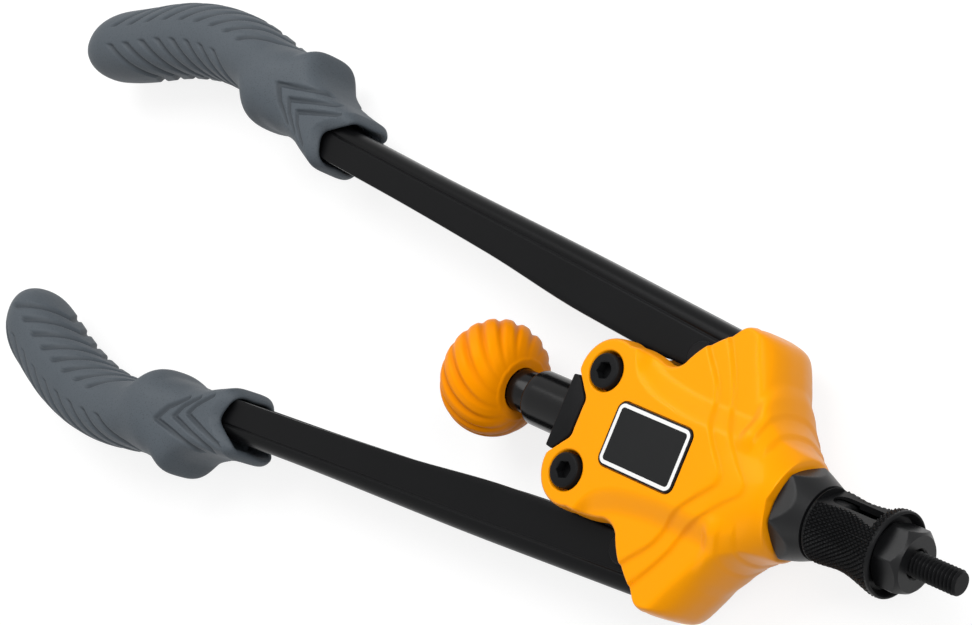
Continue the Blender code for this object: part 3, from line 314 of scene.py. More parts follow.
cavity_half = [(-60.0, 42.5), (14.0, 42.5), (14.0, 31.5), (17.8, 31.5), (26.2, 14.5), (26.2, 9.4)]
cavity_plan = cavity_half + [(x, -y) for x, y in reversed(cavity_half)]
cuts = [upright_block("lever_space", cavity_plan, -CAVITY_HALF, CAVITY_HALF),
        turned("tube_bore", [(5.0, TUBE_RADIUS + FIT), (TUBE_FRONT_SEAT, TUBE_RADIUS + FIT),
                             (TUBE_FRONT_SEAT, SPIGOT_RADIUS + FIT), (COLLAR_X - 0.5, SPIGOT_RADIUS + FIT),
                             (COLLAR_X + 3, SPIGOT_RADIUS + FIT + 3.5)], 64),
        upright_block("badge_seat", rounded_plan(badge_plan, BADGE_CORNER, FIT), 14.7, 40.0)]
for side in (1, -1):
    bolt_place = (LOBE_X, side * LOBE_Y)
    cuts.append(turned("bolt_recess", [(11.1, BOLT_RECESS), (14.9, BOLT_RECESS), (15.3, BOLT_RECESS + 0.2),
                                       (15.6, BOLT_RECESS + 0.6), (20.0, BOLT_RECESS + 0.6)], 64, bolt_place, True))
    cuts.append(turned("bolt_hole", [(-20.0, 2.8), (20.0, 2.8)], 32, bolt_place, True))
    cuts.append(upright_block("nut_pocket", six_sided(8.6, bolt_place), -40.0, -11.2))
housing_mesh = worked("housing_cast", skin("housing_cast", housing_shell()), cuts)


def name_value(mesh, name, values):
    """Stores one value per vertex under a name that the material can read."""
    mesh.attributes.new(name, "FLOAT", "POINT").data.foreach_set("value", np.asarray(values, np.float32))


def vertex_places(mesh):
    """Vertex places in millimetres about the rod axis."""
    flat = np.zeros(len(mesh.vertices) * 3)
    mesh.vertices.foreach_get("co", flat)
    return flat.reshape(-1, 3) / MM - (0.0, 0.0, AXIS_HEIGHT)


x, y, z = vertex_places(housing_mesh).T
# Painted shade: a mask along the foot of each V-shaped step on the upper and lower faces, which darkens the enamel
# colour there.
step_shade_mask = np.exp(-((x - first_step(y) - 0.5) / 0.8) ** 2) + np.exp(-((x - second_step(y) - 0.5) / 0.8) ** 2)
name_value(housing_mesh, "painted_step_shade", step_shade_mask * (np.abs(z) > 9.5))


def fresh_material(name, color, roughness, metallic=0.0, coat=0.0):
    """A material with plain values on its own shader, and its nodes, links and shader to build on."""
    material = bpy.data.materials.new(name)
    material.use_nodes = True
    shader = material.node_tree.nodes["Principled BSDF"]
    shader.inputs["Base Color"].default_value = color
    shader.inputs["Roughness"].default_value = roughness
    shader.inputs["Metallic"].default_value = metallic
    shader.inputs["Coat Weight"].default_value = coat
    return material, material.node_tree.nodes, material.node_tree.links, shader


def feed(links, socket, given):
    """Links a socket to the given one, or sets its plain value."""
    if isinstance(given, bpy.types.NodeSocket):
        links.new(given, socket)
    else:
        socket.default_value = given


def computed(nodes, links, operation, *given, vectors=False, clamp=False):
    """Result of a maths node whose inputs are sockets or plain values."""
    node = nodes.new("ShaderNodeVectorMath" if vectors else "ShaderNodeMath")
    node.operation = operation
    if clamp:
        node.use_clamp = True
    for socket, value in zip(node.inputs, given):
        feed(links, socket, value)
    return node.outputs["Vector" if vectors and operation != "LENGTH" else "Value"]


def blended(nodes, links, factor, first, second):
    """A colour that goes from the first to the second with the factor."""
    node = nodes.new("ShaderNodeMix")
    node.data_type = "RGBA"
    for label, value in (("Factor", factor), ("A", first), ("B", second)):
        feed(links, node.inputs[label], value)
    return node.outputs["Result"]


def new_group(name, inputs, outputs):
    """An empty shader node group with named number or colour sockets, and its own input and output nodes."""
    group = bpy.data.node_groups.new(name, "ShaderNodeTree")
    kinds = {"value": "NodeSocketFloat", "color": "NodeSocketColor", "normal": "NodeSocketVector"}
    for label, kind, start in inputs:
        socket = group.interface.new_socket(name=label, in_out="INPUT", socket_type=kinds[kind])
        if start is not None:
            socket.default_value = start
    for label, kind in outputs:
        group.interface.new_socket(name=label, in_out="OUTPUT", socket_type=kinds[kind])
    return group, group.nodes, group.links, group.nodes.new("NodeGroupInput"), group.nodes.new("NodeGroupOutput")


def uneven_surface_group():
    """Fine unevenness of a coat or a casting. Two noises of different size, in Object coordinates, mix the
    colour with its shade, spread the roughness and give a height for the bump."""
    group, nodes, links, given, out = new_group(
        "uneven_surface",
        [("Color", "color", (0.5, 0.5, 0.5, 1.0)), ("Shade", "color", (0.4, 0.4, 0.4, 1.0)),
         ("Shade Share", "value", 0.3), ("Grain Size", "value", 600.0), ("Patch Size", "value", 60.0),
         ("Roughness", "value", 0.4), ("Spread", "value", 0.1)],
        [("Color", "color"), ("Roughness", "value"), ("Height", "value")])
    place = nodes.new("ShaderNodeTexCoord")
    grain = nodes.new("ShaderNodeTexNoise")
    grain.inputs["Detail"].default_value = 3.0
    patch = nodes.new("ShaderNodeTexNoise")
    patch.inputs["Detail"].default_value = 2.0
    for noise, size in ((grain, "Grain Size"), (patch, "Patch Size")):
        links.new(place.outputs["Object"], noise.inputs["Vector"])
        links.new(given.outputs[size], noise.inputs["Scale"])
    share = computed(nodes, links, "MULTIPLY", patch.outputs["Fac"], given.outputs["Shade Share"])
    tint = blended(nodes, links, share, given.outputs["Color"], given.outputs["Shade"])
    centered = computed(nodes, links, "SUBTRACT", grain.outputs["Fac"], 0.5)
    rough = computed(nodes, links, "MULTIPLY_ADD", centered, given.outputs["Spread"], given.outputs["Roughness"])
    links.new(tint, out.inputs["Color"])
    links.new(rough, out.inputs["Roughness"])
    links.new(grain.outputs["Fac"], out.inputs["Height"])
    return group


uneven_surface = uneven_surface_group()


def add_unevenness(nodes, links, shader, color, shade, share, grain, patch, roughness, spread, bump, depth=0.05):
    """Places the unevenness group in a material, feeds the shader, and returns the group's node."""
    uneven = nodes.new("ShaderNodeGroup")
    uneven.node_tree = uneven_surface
    for label, value in (("Color", color), ("Shade", shade), ("Shade Share", share), ("Grain Size", grain),
                         ("Patch Size", patch), ("Roughness", roughness), ("Spread", spread)):
        uneven.inputs[label].default_value = value
    relief = nodes.new("ShaderNodeBump")
    relief.inputs["Strength"].default_value = bump
    relief.inputs["Distance"].default_value = depth * MM
    links.new(uneven.outputs["Color"], shader.inputs["Base Color"])
    links.new(uneven.outputs["Roughness"], shader.inputs["Roughness"])
    links.new(uneven.outputs["Height"], relief.inputs["Height"])
    links.new(relief.outputs["Normal"], shader.inputs["Normal"])
    return uneven


def yellow_enamel():
    """Amber enamel with a little orange peel. The foot of each step is darkened with painted shade."""
    material, nodes, links, shader = fresh_material("yellow_enamel_paint", ENAMEL_YELLOW, 0.30, coat=0.04)
    shader.inputs["Coat Roughness"].default_value = 0.12
    shader.inputs["Specular Tint"].default_value = (1.0, 0.5, 0.05, 1.0)
    uneven = add_unevenness(nodes, links, shader, ENAMEL_YELLOW, ENAMEL_SHADE, 0.12, 900.0, 45.0, 0.36, 0.08, 0.12,
                            0.04)
    # Painted shade: the base colour is mixed towards the darker enamel tone at the foot of each step.
    foot = nodes.new("ShaderNodeAttribute")
    foot.attribute_name = "painted_step_shade"
    share = computed(nodes, links, "MULTIPLY", foot.outputs["Fac"], 0.35, clamp=True)
    darker = blended(nodes, links, share, uneven.outputs["Color"], ENAMEL_SHADE)
    links.new(darker, shader.inputs["Base Color"])
    return material


put_in_place("housing_cast", housing_mesh, yellow_enamel(), "head", "yellow_enamel", "housing", sharp=50)


# Label plate: a thin plastic plate pressed into a shallow seat on the housing. It is satin black with a narrow
# pale border and a thin dark edge, and its field is left bare.

BADGE_TOP = 15.85
BORDER_OUTSIDE = 0.45
BORDER_INSIDE = 1.35

badge_edge = [(-2.0, 0.0), (-0.9, 0.0), (-0.35, 0.0), (-0.1, -0.06), (0.0, -0.25), (0.0, -1.0)]
badge_rows = [np.column_stack([rounded_plan(badge_plan, BADGE_CORNER, extra, 9), np.full(36, BADGE_TOP + drop)])
              for extra, drop in badge_edge]
badge_rows[0][:, :2] = badge_rows[0][:, :2] * 0.02 + np.mean(badge_plan, axis=0) * 0.98
badge_mesh = skin("label_plate", np.stack(badge_rows))


def badge_plastic():
    """Satin black plastic. The pale border lies where the distance in from a rounded rectangle's edge, taken in
    Object coordinates, is between two values."""
    black = (0.008, 0.0085, 0.009, 1.0)
    material, nodes, links, shader = fresh_material("label_plastic", black, 0.45)
    shader.inputs["IOR"].default_value = 1.25
    shader.inputs["Specular IOR Level"].default_value = 0.4
    uneven = add_unevenness(nodes, links, shader, black, (0.014, 0.0142, 0.015, 1.0), 0.4, 1500.0, 120.0, 0.42, 0.1,
                            0.05, 0.02)
    place = nodes.new("ShaderNodeTexCoord")
    middle = ((BADGE_FRONT + BADGE_REAR) / 2 * MM, 0.0, 0.0)
    half_length = (BADGE_FRONT - BADGE_REAR) / 2
    straight = ((half_length - BADGE_CORNER) * MM, (BADGE_HALF_WIDTH - BADGE_CORNER) * MM, 1.0)
    aside = computed(nodes, links, "SUBTRACT", place.outputs["Object"], middle, vectors=True)
    folded = computed(nodes, links, "ABSOLUTE", aside, vectors=True)
    beyond = computed(nodes, links, "SUBTRACT", folded, straight, vectors=True)
    positive = computed(nodes, links, "MAXIMUM", beyond, (0.0, 0.0, 0.0), vectors=True)
    reach = computed(nodes, links, "LENGTH", positive, vectors=True)
    outside, inside = (computed(nodes, links, "GREATER_THAN", reach, (BADGE_CORNER - inset) * MM)
                       for inset in (BORDER_OUTSIDE, BORDER_INSIDE))
    border = computed(nodes, links, "SUBTRACT", inside, outside, clamp=True)
    printed = blended(nodes, links, border, uneven.outputs["Color"], (0.86, 0.86, 0.85, 1.0))
    links.new(printed, shader.inputs["Base Color"])
    return material


put_in_place("label_plate", badge_mesh, badge_plastic(), "head", "badge_black", "badge_plate")


# Rear block: a black-oxide steel guide between the bolt lobes. Its chamfered flange closes the housing behind
# and its tongue fills the notch in the upper and lower faces. Both bolts clamp it.

BLOCK_REAR = -30.6
BLOCK_HALF_WIDTH = 10.0
BLOCK_HALF_HEIGHT = 11.4
BLOCK_CHAMFER = 4.4
SLEEVE_BUSH_RADIUS = 7.15
BLACK_OXIDE = (0.005, 0.0052, 0.0056, 1.0)
BLACK_OXIDE_WORN = (0.016, 0.0163, 0.0175, 1.0)


def cushioned(name, plan, low, high, soft):
    """Mesh of a plan outline between two levels, with its rims rounded by rows that follow a quarter circle."""
    plan = np.asarray(plan, float)
    middle = plan.mean(axis=0)
    lean = np.linspace(0, np.pi / 2, 5)
    inset = np.concatenate([[1e9], soft * (1 - np.sin(lean))])
    level = np.concatenate([[high], high - soft * (1 - np.cos(lean))])
    inset = np.concatenate([inset, inset[::-1]])
    level = np.concatenate([level, (low + high - level)[::-1]])
    span = np.linalg.norm(plan - middle, axis=1)[None, :]
    share = np.maximum(1 - inset[:, None] / span, 0.02)
    grid = np.zeros((len(inset), len(plan), 3))
    grid[:, :, :2] = middle + (plan - middle) * share[:, :, None]
    grid[:, :, 2] = level[:, None]
    return skin(name, grid)


def black_oxide(name="black_oxide_finish", roughness=0.42, bump=0.12, grain=1400.0, shine=0.07):
    """Oiled black oxide on steel: nearly black, satin, with faint grey rubbed patches."""
    material, nodes, links, shader = fresh_material(name, BLACK_OXIDE, roughness)
    shader.inputs["Specular IOR Level"].default_value = shine
    add_unevenness(nodes, links, shader, BLACK_OXIDE, BLACK_OXIDE_WORN, 0.5, grain, 130.0, roughness, 0.16, bump,
                   0.03)
    return material


black_steel = black_oxide()
wide, tall = BLOCK_HALF_WIDTH, BLOCK_HALF_HEIGHT
wide_flat, tall_flat = wide - BLOCK_CHAMFER, tall - BLOCK_CHAMFER
flange_profile = np.array([(-wide, -tall_flat), (-wide_flat, -tall), (wide_flat, -tall), (wide, -tall_flat),
                           (wide, tall_flat), (wide_flat, tall), (-wide_flat, tall), (-wide, tall_flat)])
flange_rows = np.array([(BLOCK_REAR + 0.5, 0.02), (BLOCK_REAR, 0.3), (BLOCK_REAR, 0.93), (BLOCK_REAR + 0.2, 0.975),
                        (BLOCK_REAR + 0.7, 1.0), (-28.2, 1.0), (-28.0, 0.98), (-28.0, 0.02)])
flange_grid = np.stack([np.broadcast_to(flange_rows[:, :1], (8, 8)), flange_profile[None, :, 0] * flange_rows[:, 1:],
                        flange_profile[None, :, 1] * flange_rows[:, 1:]], -1)
tongue_half = [(-28.6, 9.2), (-27.2, 9.4), (-25.9, 8.7), (-23.0, 5.3), (-22.6, 4.5)]
tongue_plan = tongue_half + [(x, -y) for x, y in reversed(tongue_half)]
block_half = [(BLOCK_REAR + 0.6, 9.8), (-26.2, 17.6), (-16.2, 17.6), (-15.0, 12.6), (-17.0, 7.8), (-28.0, 7.8)]
block_plan = block_half + [(x, -y) for x, y in reversed(block_half)]
block_mesh = worked("rear_guide_block", cushioned("rear_guide_block", tongue_plan, -13.4, 14.3, 0.7),
                    [turned("guide_bore", [(-60.0, SLEEVE_BUSH_RADIUS + FIT), (0.0, SLEEVE_BUSH_RADIUS + FIT)], 64),
                     turned("bolt_hole", [(-20.0, 2.8), (20.0, 2.8)], 32, (LOBE_X, LOBE_Y), True),
                     turned("bolt_hole", [(-20.0, 2.8), (20.0, 2.8)], 32, (LOBE_X, -LOBE_Y), True)],
                    [skin("flange", flange_grid), upright_block("block", block_plan, -8.4, 8.4)])
put_in_place("rear_guide_block", block_mesh, black_steel, "head", "black_oxide_steel", "rear_block", sharp=30)


# Bolts and nuts: two M5 socket-head bolts clamp the lobes on the rear block. They are black oxide steel, and
# their heads stand a little proud of the face in round recesses. The nuts lie in hexagon pockets below.

BOLT_TOP = 16.4
BOLT_HEAD_RADIUS = 4.3
BOLT_RADIUS = 2.5
BOLT_KEY = 4.0

for side, word in ((1, "left"), (-1, "right")):
    bolt_place = (LOBE_X, side * LOBE_Y)
    rim = np.radians(np.linspace(0, 90, 7))
    head = [(BOLT_TOP - 0.6 * (1 - np.sin(lean)), BOLT_HEAD_RADIUS - 0.6 * (1 - np.cos(lean))) for lean in rim]
    outline = [(-14.9, 0.4), (-14.9, BOLT_RADIUS - 0.4), (-14.5, BOLT_RADIUS), (11.4, BOLT_RADIUS),
               (11.4, BOLT_HEAD_RADIUS - 0.15), (11.55, BOLT_HEAD_RADIUS)] + head + [(BOLT_TOP, 2.55)]
    bolt_mesh = worked(f"{word}_clamp_bolt", turned(f"{word}_clamp_bolt", outline, 96, bolt_place, True),
                       [upright_block("key", six_sided(BOLT_KEY, bolt_place, 0.3), BOLT_TOP - 2.8, BOLT_TOP + 5),
                        turned("key_lead", [(BOLT_TOP - 0.25, 1.6), (BOLT_TOP - 0.25, 2.0), (BOLT_TOP + 0.1, 2.5),
                                            (BOLT_TOP + 1, 2.5)], 64, bolt_place, True)])
    put_in_place(f"{word}_clamp_bolt", bolt_mesh, black_steel, "head", "black_oxide_steel", f"{word}_bolt", sharp=30)
    nut_turn = np.arange(96) * 2 * np.pi / 96
    flat = 4.0 / np.cos((nut_turn + np.pi / 6) % (np.pi / 3) - np.pi / 6)
    nut_rows = []
    for level, limit in ((-14.9, 2.8), (-14.9, 3.9), (-14.3, 9.0), (-11.9, 9.0), (-11.5, 4.2), (-11.5, 2.8)):
        radius = np.minimum(flat, limit)
        nut_rows.append(np.stack([bolt_place[0] + radius * np.cos(nut_turn), bolt_place[1] + radius * np.sin(nut_turn),
                                  np.full(96, level)], -1))
    put_in_place(f"{word}_clamp_nut", skin(f"{word}_clamp_nut", np.stack(nut_rows), looped=True), black_steel, "head",
                 "black_oxide_steel", f"{word}_bolt_nut", sharp=30)


# Arms: each is a channel pressed from steel sheet, open towards the other arm, with a rolled crease along its
# outer edge and a slight bend before the grip. It is painted in satin black lacquer.

PIN_Y = 24.0
PIN_RADIUS = 3.0
ARM_ANGLE = np.radians(5.4)
ARM_INNER = -3.6
ARM_OUTER = 9.6
ARM_HALF = 7.0
ARM_WALL = 1.5
ARM_CORNER = 4.0
ARM_FRONT = 11.5
ARM_TAPER = 0.152
ARM_LEAN = 0.006
ARM_BEND_START = 148.0
ARM_BEND_END = 160.0
ARM_BEND = np.radians(15.0)
ARM_LENGTH = 192.0
LACQUER_BLACK = (0.003, 0.0031, 0.0034, 1.0)


def on_arm(side, u, w, z):
    """Places from arm coordinates: u along the arm to the grip from the lever pin, w outwards, z up."""
    return np.stack(np.broadcast_arrays(-u * np.cos(ARM_ANGLE) + w * np.sin(ARM_ANGLE),
                                        side * (PIN_Y + u * np.sin(ARM_ANGLE) + w * np.cos(ARM_ANGLE)), z), -1)


def channel_section():
    """Closed outline of the pressed channel in (w, z): rounded lips, flat flanges with a shallow crease near
    the outer edge, and the web between rounded corners."""
    top = [(ARM_INNER, ARM_HALF - ARM_WALL + 0.3), (ARM_INNER, ARM_HALF - 0.5), (ARM_INNER + 0.15, ARM_HALF - 0.15),
           (ARM_INNER + 0.5, ARM_HALF)]
    top += [(w, ARM_HALF) for w in np.linspace(ARM_INNER + 1.5, ARM_OUTER - 5.2, 6)]
    crease = np.linspace(-1.0, 1.0, 9)
    top += [(ARM_OUTER - 4.3 + 0.55 * step, ARM_HALF - 0.32 * (0.5 + 0.5 * np.cos(np.pi * step))) for step in crease]
    lean = np.linspace(np.pi / 2, 0.0, 10)
    top += [(ARM_OUTER - 3.4 + 3.4 * np.cos(a), ARM_HALF - 3.4 + 3.4 * np.sin(a)) for a in lean]
    inner_radius = ARM_CORNER - ARM_WALL
    inside = [(ARM_OUTER - ARM_CORNER + inner_radius * np.cos(a), ARM_HALF - ARM_CORNER + inner_radius * np.sin(a))
              for a in np.linspace(0.0, np.pi / 2, 7)]
    inside += [(ARM_INNER + 0.4, ARM_HALF - ARM_WALL), (ARM_INNER + 0.1, ARM_HALF - ARM_WALL + 0.1)]
    outer = np.array(top)
    inner = np.array(inside)
    flip = (1.0, -1.0)
    return np.vstack([outer, outer[::-1] * flip, inner[::-1] * flip, inner])


def arm_path(count=70):
    """Stations along the arm as u, shift outwards and turn: straight, an even bend, then straight."""
    travel = np.concatenate([np.linspace(-ARM_FRONT, ARM_BEND_START, count // 2),
                             np.linspace(ARM_BEND_START, ARM_BEND_END, 12)[1:],
                             np.linspace(ARM_BEND_END, ARM_LENGTH, 10)[1:]])
    radius = (ARM_BEND_END - ARM_BEND_START) / ARM_BEND
    turn = np.clip((travel - ARM_BEND_START) / radius, 0.0, ARM_BEND)
    over = np.maximum(travel - ARM_BEND_END, 0.0)
    before = np.minimum(travel, ARM_BEND_START)
    u = before + radius * np.sin(turn) + over * np.cos(turn)
    shift = radius * (1 - np.cos(turn)) + over * np.sin(turn)
    return u, shift, turn


def arm_grid(side, u, shift, turn, section):
    """Section of (w, z) points placed at stations. The arm narrows between u 40 and 125, on both sides of its
    middle, is a little wider inwards near the head, and leans to the left by a small share of its length."""
    u, shift, turn = (np.asarray(values, float)[:, None] for values in (u, shift, turn))
    middle = (ARM_INNER + ARM_OUTER) / 2
    across = (section[None, :, 0] - middle) * (1 - ARM_TAPER * ease((u - 40.0) / 85.0))
    across = across + 0.17 * np.minimum(across, 0.0) * ease((u - 4.0) / 12.0) * ease((80.0 - u) / 40.0)
    lean = (side * ARM_LEAN - 0.0015) * np.maximum(u, 0.0)
    return on_arm(side, u - across * np.sin(turn), middle + shift + lean + across * np.cos(turn), section[None, :, 1])


def satin_lacquer():
    """Black lacquer with a fine orange peel and a soft sheen, a little greyer where hands rub it."""
    material, nodes, links, shader = fresh_material("satin_black_lacquer", LACQUER_BLACK, 0.34)
    shader.inputs["IOR"].default_value = 1.22
    shader.inputs["Specular IOR Level"].default_value = 0.35
    add_unevenness(nodes, links, shader, LACQUER_BLACK, (0.006, 0.0062, 0.007, 1.0), 0.6, 1100.0, 40.0, 0.33, 0.12,
                   0.1, 0.03)
    return material


black_lacquer = satin_lacquer()
for side, word in ((1, "left"), (-1, "right")):
    grid = arm_grid(side, *arm_path(), channel_section())
    corner = on_arm(side, np.array([-13.5, -11.5, -10.9, -9.0, -6.0, -5.0, -13.5]),
                    np.array([2.6, 2.6, 5.2, 7.8, 9.6, 12.0, 12.0]), 0.0)[:, :2]
    arm_mesh = worked(f"{word}_channel_arm", skin(f"{word}_channel_arm", grid, flat_ends=True),
                      [turned("pin_hole", [(-20.0, PIN_RADIUS + FIT), (20.0, PIN_RADIUS + FIT)], 48,
                              (0.0, side * PIN_Y), True),
                       upright_block("arm_corner", corner, -20.0, 20.0)])
    put_in_place(f"{word}_channel_arm", arm_mesh, black_lacquer, f"{word}_lever", "black_lacquer", f"{word}_arm",
                 sharp=40)


# Grips: thick sleeves of blue-grey rubber pushed on the arms. Each flares at its mouth, has a finger guard, and
# is moulded with oblique grooves towards its end and three nested grooves behind the mouth.

LEFT_GRIP_MOUTH = 146.0
RIGHT_GRIP_MOUTH = 140.0
LEFT_GRIP_LENGTH = 134.5
RIGHT_GRIP_LENGTH = 125.5
GRIP_CAP = 15.0
GRIP_COLUMNS = 380
GROOVE_DEPTH = 0.85
MOUTH_RECESS = [(0.0, 3.5), (0.12, 4.6), (0.4, 10.4), (0.5, 11.4), (0.62, 11.5), (0.8, 10.4), (1.0, 9.2)]
MOUTH_REACH = 40.0
GRIP_OUTER = [(0, 13.1), (4, 13.2), (9, 13.6), (13, 14.1), (18, 15.6), (23, 18.4), (28, 23.7), (33, 21.8),
              (38, 21.2), (42, 21.2), (47, 21.5), (54, 22.5), (66, 23.5), (80, 22.4), (92, 19.6), (100, 16.7),
              (110, 12.2), (118, 8.7), (126, 5.1), (134, 2.0)]
GRIP_INNER = [(0, -7.7), (8, -6.5), (15, -4.5), (20, -3.0), (25, -2.4), (30, -2.5), (36, -2.8), (43, -4.0),
              (49, 0.9), (55, 2.2), (60, 2.1), (68, 1.7), (76, 0.6), (84, -1.4), (90, -3.2), (98, -6.4),
              (108, -10.8), (116, -13.8), (125, -16.4), (134, -18.1)]
GRIP_HEIGHT = [(0, 10.2), (14, 10.9), (26, 11.4), (38, 14.8), (50, 14.1), (66, 13.1), (134, 11.5)]
BENT_GROOVES = [((13.7, 14.6), (30.8, 10.0), (28.2, 5.6), (22.8, 1.2)),
                ((9.0, 12.6), (25.3, 7.5), (23.0, 3.9), (18.3, 0.0)),
                ((5.0, 10.7), (20.3, 5.5), (18.0, 2.3), (13.2, -1.8))]
GRIP_SQUARENESS = [(0, 4.2), (20, 3.4), (40, 2.5), (60, 2.2), (134, 2.2)]
RUBBER_GREY = (0.062, 0.076, 0.090, 1.0)
# Colour of the small dark specks, and of the painted shade in the grooves.
RUBBER_DARK = (0.032, 0.039, 0.047, 1.0)


def grip_lean(side, place):
    """How far the grip stands to the left of its arm's line."""
    return side * (0.5 + 0.024 * place)


def grip_surface(side, distance, angle, shrink):
    """Points of the grip. Its section is a superellipse between an inner and an outer edge line. The lip recedes
    in a wide V over the middle of the flat faces, and that recess fades along the reach."""
    c, s = np.cos(angle), np.sin(angle)
    recess = smooth_line(MOUTH_RECESS, (1 - np.sign(c) * np.abs(c) ** 0.5) / 2)
    place = distance + recess * np.maximum(0, 1 - distance / MOUTH_REACH)
    outer = smooth_line(GRIP_OUTER, place)
    inner = smooth_line(GRIP_INNER, place)
    power = smooth_line(GRIP_SQUARENESS, place)
    middle = (outer + inner) / 2 + grip_lean(side, place)
    half = (outer - inner) / 2 * shrink
    height = smooth_line(GRIP_HEIGHT, place) * shrink
    return place, middle + half * np.abs(c) ** (2 / power) * np.sign(c), height * np.abs(s) ** (2 / power) * np.sign(s)


def grip_grooves(place, w, z):
    """Depth share of the grooves, from 0 to 1. A rear groove starts beside the middle line and runs back down
    the side towards the mouth, one every seven millimetres. Behind the mouth, three bent grooves nest in each
    other. Both are the same for the upper and lower halves."""
    stations, outer = np.transpose(GRIP_OUTER)
    middle = smooth_line(np.column_stack([stations, (outer + smooth_line(GRIP_INNER, stations)) / 2]), place)
    height = smooth_line(GRIP_HEIGHT, place)
    aside = w - middle
    around = np.hypot(np.abs(aside), 0.85 * (height - np.abs(z)))
    depth = np.zeros_like(place)
    for sign, first, pitch, count, start in ((1, 117.5, 7.6, 9, 2.6), (-1, 115.5, 7.1, 8, 3.4)):
        run = np.maximum(around - start, 0.0)
        back = (first - place - 1.25 * run) / pitch
        number = np.clip(np.round(back), 0, count - 1)
        apart = np.abs(back - number) * pitch * 0.62
        reach = ease((around - start) / 1.2 + 0.4) * ease((20.0 - around) / 3.0)
        depth = np.maximum(depth, np.exp(-(apart / 0.75) ** 4) * reach * (np.sign(aside) == sign))
    for outer_end, apex, bend, inner_end in BENT_GROOVES:
        for start, end in ((outer_end, apex), (apex, bend), (bend, inner_end)):
            run = np.subtract(end, start)
            share = np.clip(((place - start[0]) * run[0] + (w - start[1]) * run[1]) / (run @ run), 0.0, 1.0)
            apart = np.hypot(place - start[0] - share * run[0], w - start[1] - share * run[1])
            depth = np.maximum(depth, np.exp(-(apart / 0.7) ** 4) * ease((np.abs(z) - 5.0) / 2.0))
    return depth


def grip_grid(side, mouth, length):
    """Rows from the socket's floor out over the lip, along the outside with its grooves pressed in, and round
    the closed end. Columns go round the section."""
    fine = np.linspace(0, 2 * np.pi, 20001)
    walk = np.hypot(np.diff(9.5 * np.abs(np.cos(fine)) ** 0.55 * np.sign(np.cos(fine))),
                    np.diff(11.0 * np.abs(np.sin(fine)) ** 0.55 * np.sign(np.sin(fine)))).cumsum()
    angle = np.interp((np.arange(GRIP_COLUMNS) + 0.5) * walk[-1] / GRIP_COLUMNS, walk, fine[1:])
    cap = length - GRIP_CAP
    travel = np.concatenate([np.linspace(0.0, 34.0, 84)[:-1], np.linspace(34.0, cap, 140)[:-1],
                             cap + GRIP_CAP * np.sin(np.linspace(0, np.pi / 2, 22))])[:, None]
    share = np.clip((travel - cap) / GRIP_CAP, 0.0, 1.0)
    shrink = np.sqrt(np.clip(1 - share ** 2.2, 0.0009, 1.0))
    place, w, z = grip_surface(side, travel, angle, shrink)
    depth = grip_grooves(place, w - grip_lean(side, place), z) * GROOVE_DEPTH * (share < 0.5)
    middle_w = (smooth_line(GRIP_OUTER, place) + smooth_line(GRIP_INNER, place)) / 2 + grip_lean(side, place)
    span = np.maximum(np.hypot(w - middle_w, z), 1.0)
    w_in = w - (w - middle_w) / span * depth
    z_in = z - z / span * depth
    outside = on_arm(side, mouth + place, w_in, z_in)
    lip = []
    start_place, start_w, start_z = place[0], w[0], z[0]
    center_w = (ARM_INNER + ARM_OUTER) / 2
    for inward, shift in ((3.1, 7.0), (3.1, -1.2), (2.9, -2.2), (2.45, -2.6), (1.9, -2.5), (1.3, -1.95),
                          (0.65, -1.1), (0.2, -0.4)):
        reach = np.maximum(np.hypot(start_w - center_w, start_z), 1.0)
        factor = 1 - inward / reach
        lip.append(on_arm(side, mouth + start_place + shift, center_w + (start_w - center_w) * factor,
                          start_z * factor))
    grid = np.concatenate([np.stack(lip), outside])
    return grid, np.concatenate([np.zeros((len(lip), GRIP_COLUMNS)), depth / GROOVE_DEPTH])


def speckled_rubber():
    """Moulded rubber: matte blue-grey with a fine sandy grain and small dark specks, and painted shade that darkens the
    grooves.
    """
    material, nodes, links, shader = fresh_material("speckled_grey_rubber", RUBBER_GREY, 0.62)
    shader.inputs["Specular IOR Level"].default_value = 0.35
    uneven = add_unevenness(nodes, links, shader, RUBBER_GREY, (0.085, 0.1, 0.116, 1.0), 0.6, 1900.0, 60.0, 0.6, 0.2,
                            0.55, 0.12)
    place = nodes.new("ShaderNodeTexCoord")
    specks = nodes.new("ShaderNodeTexVoronoi")
    specks.inputs["Scale"].default_value = 1500.0
    links.new(place.outputs["Object"], specks.inputs["Vector"])
    small = nodes.new("ShaderNodeMapRange")
    small.inputs["From Min"].default_value = 0.12
    small.inputs["From Max"].default_value = 0.34
    small.inputs["To Min"].default_value = 0.55
    small.inputs["To Max"].default_value = 0.0
    links.new(specks.outputs["Distance"], small.inputs["Value"])
    # Painted shade: the groove depth share darkens the base colour in the grooves.
    groove = nodes.new("ShaderNodeAttribute")
    groove.attribute_name = "groove"
    painted_groove_shade = computed(nodes, links, "MULTIPLY", groove.outputs["Fac"], 0.75)
    specks_and_painted_shade = computed(nodes, links, "MAXIMUM", small.outputs["Result"], painted_groove_shade)
    mixed = blended(nodes, links, specks_and_painted_shade, uneven.outputs["Color"], RUBBER_DARK)
    links.new(mixed, shader.inputs["Base Color"])
    return material


grip_rubber = speckled_rubber()
for side, word, mouth, length in ((1, "left", LEFT_GRIP_MOUTH, LEFT_GRIP_LENGTH),
                                  (-1, "right", RIGHT_GRIP_MOUTH, RIGHT_GRIP_LENGTH)):
    grid, groove_depth = grip_grid(side, mouth, length)
    grip_mesh = skin(f"{word}_grip_sleeve", grid)
    # The groove depth share is stored for the painted shade in the grooves.
    name_value(grip_mesh, "groove", np.concatenate([groove_depth.reshape(-1), [0.0, 0.0]]))
    put_in_place(f"{word}_grip_sleeve", grip_mesh, grip_rubber, f"{word}_lever", "grey_rubber", f"{word}_grip",
                 sharp=60)


# Knob: a flattened ball moulded in orange-yellow plastic with fifteen twisted lobes. It sits on the neck of the
# pull rod and is held by a small grub screw in its side.

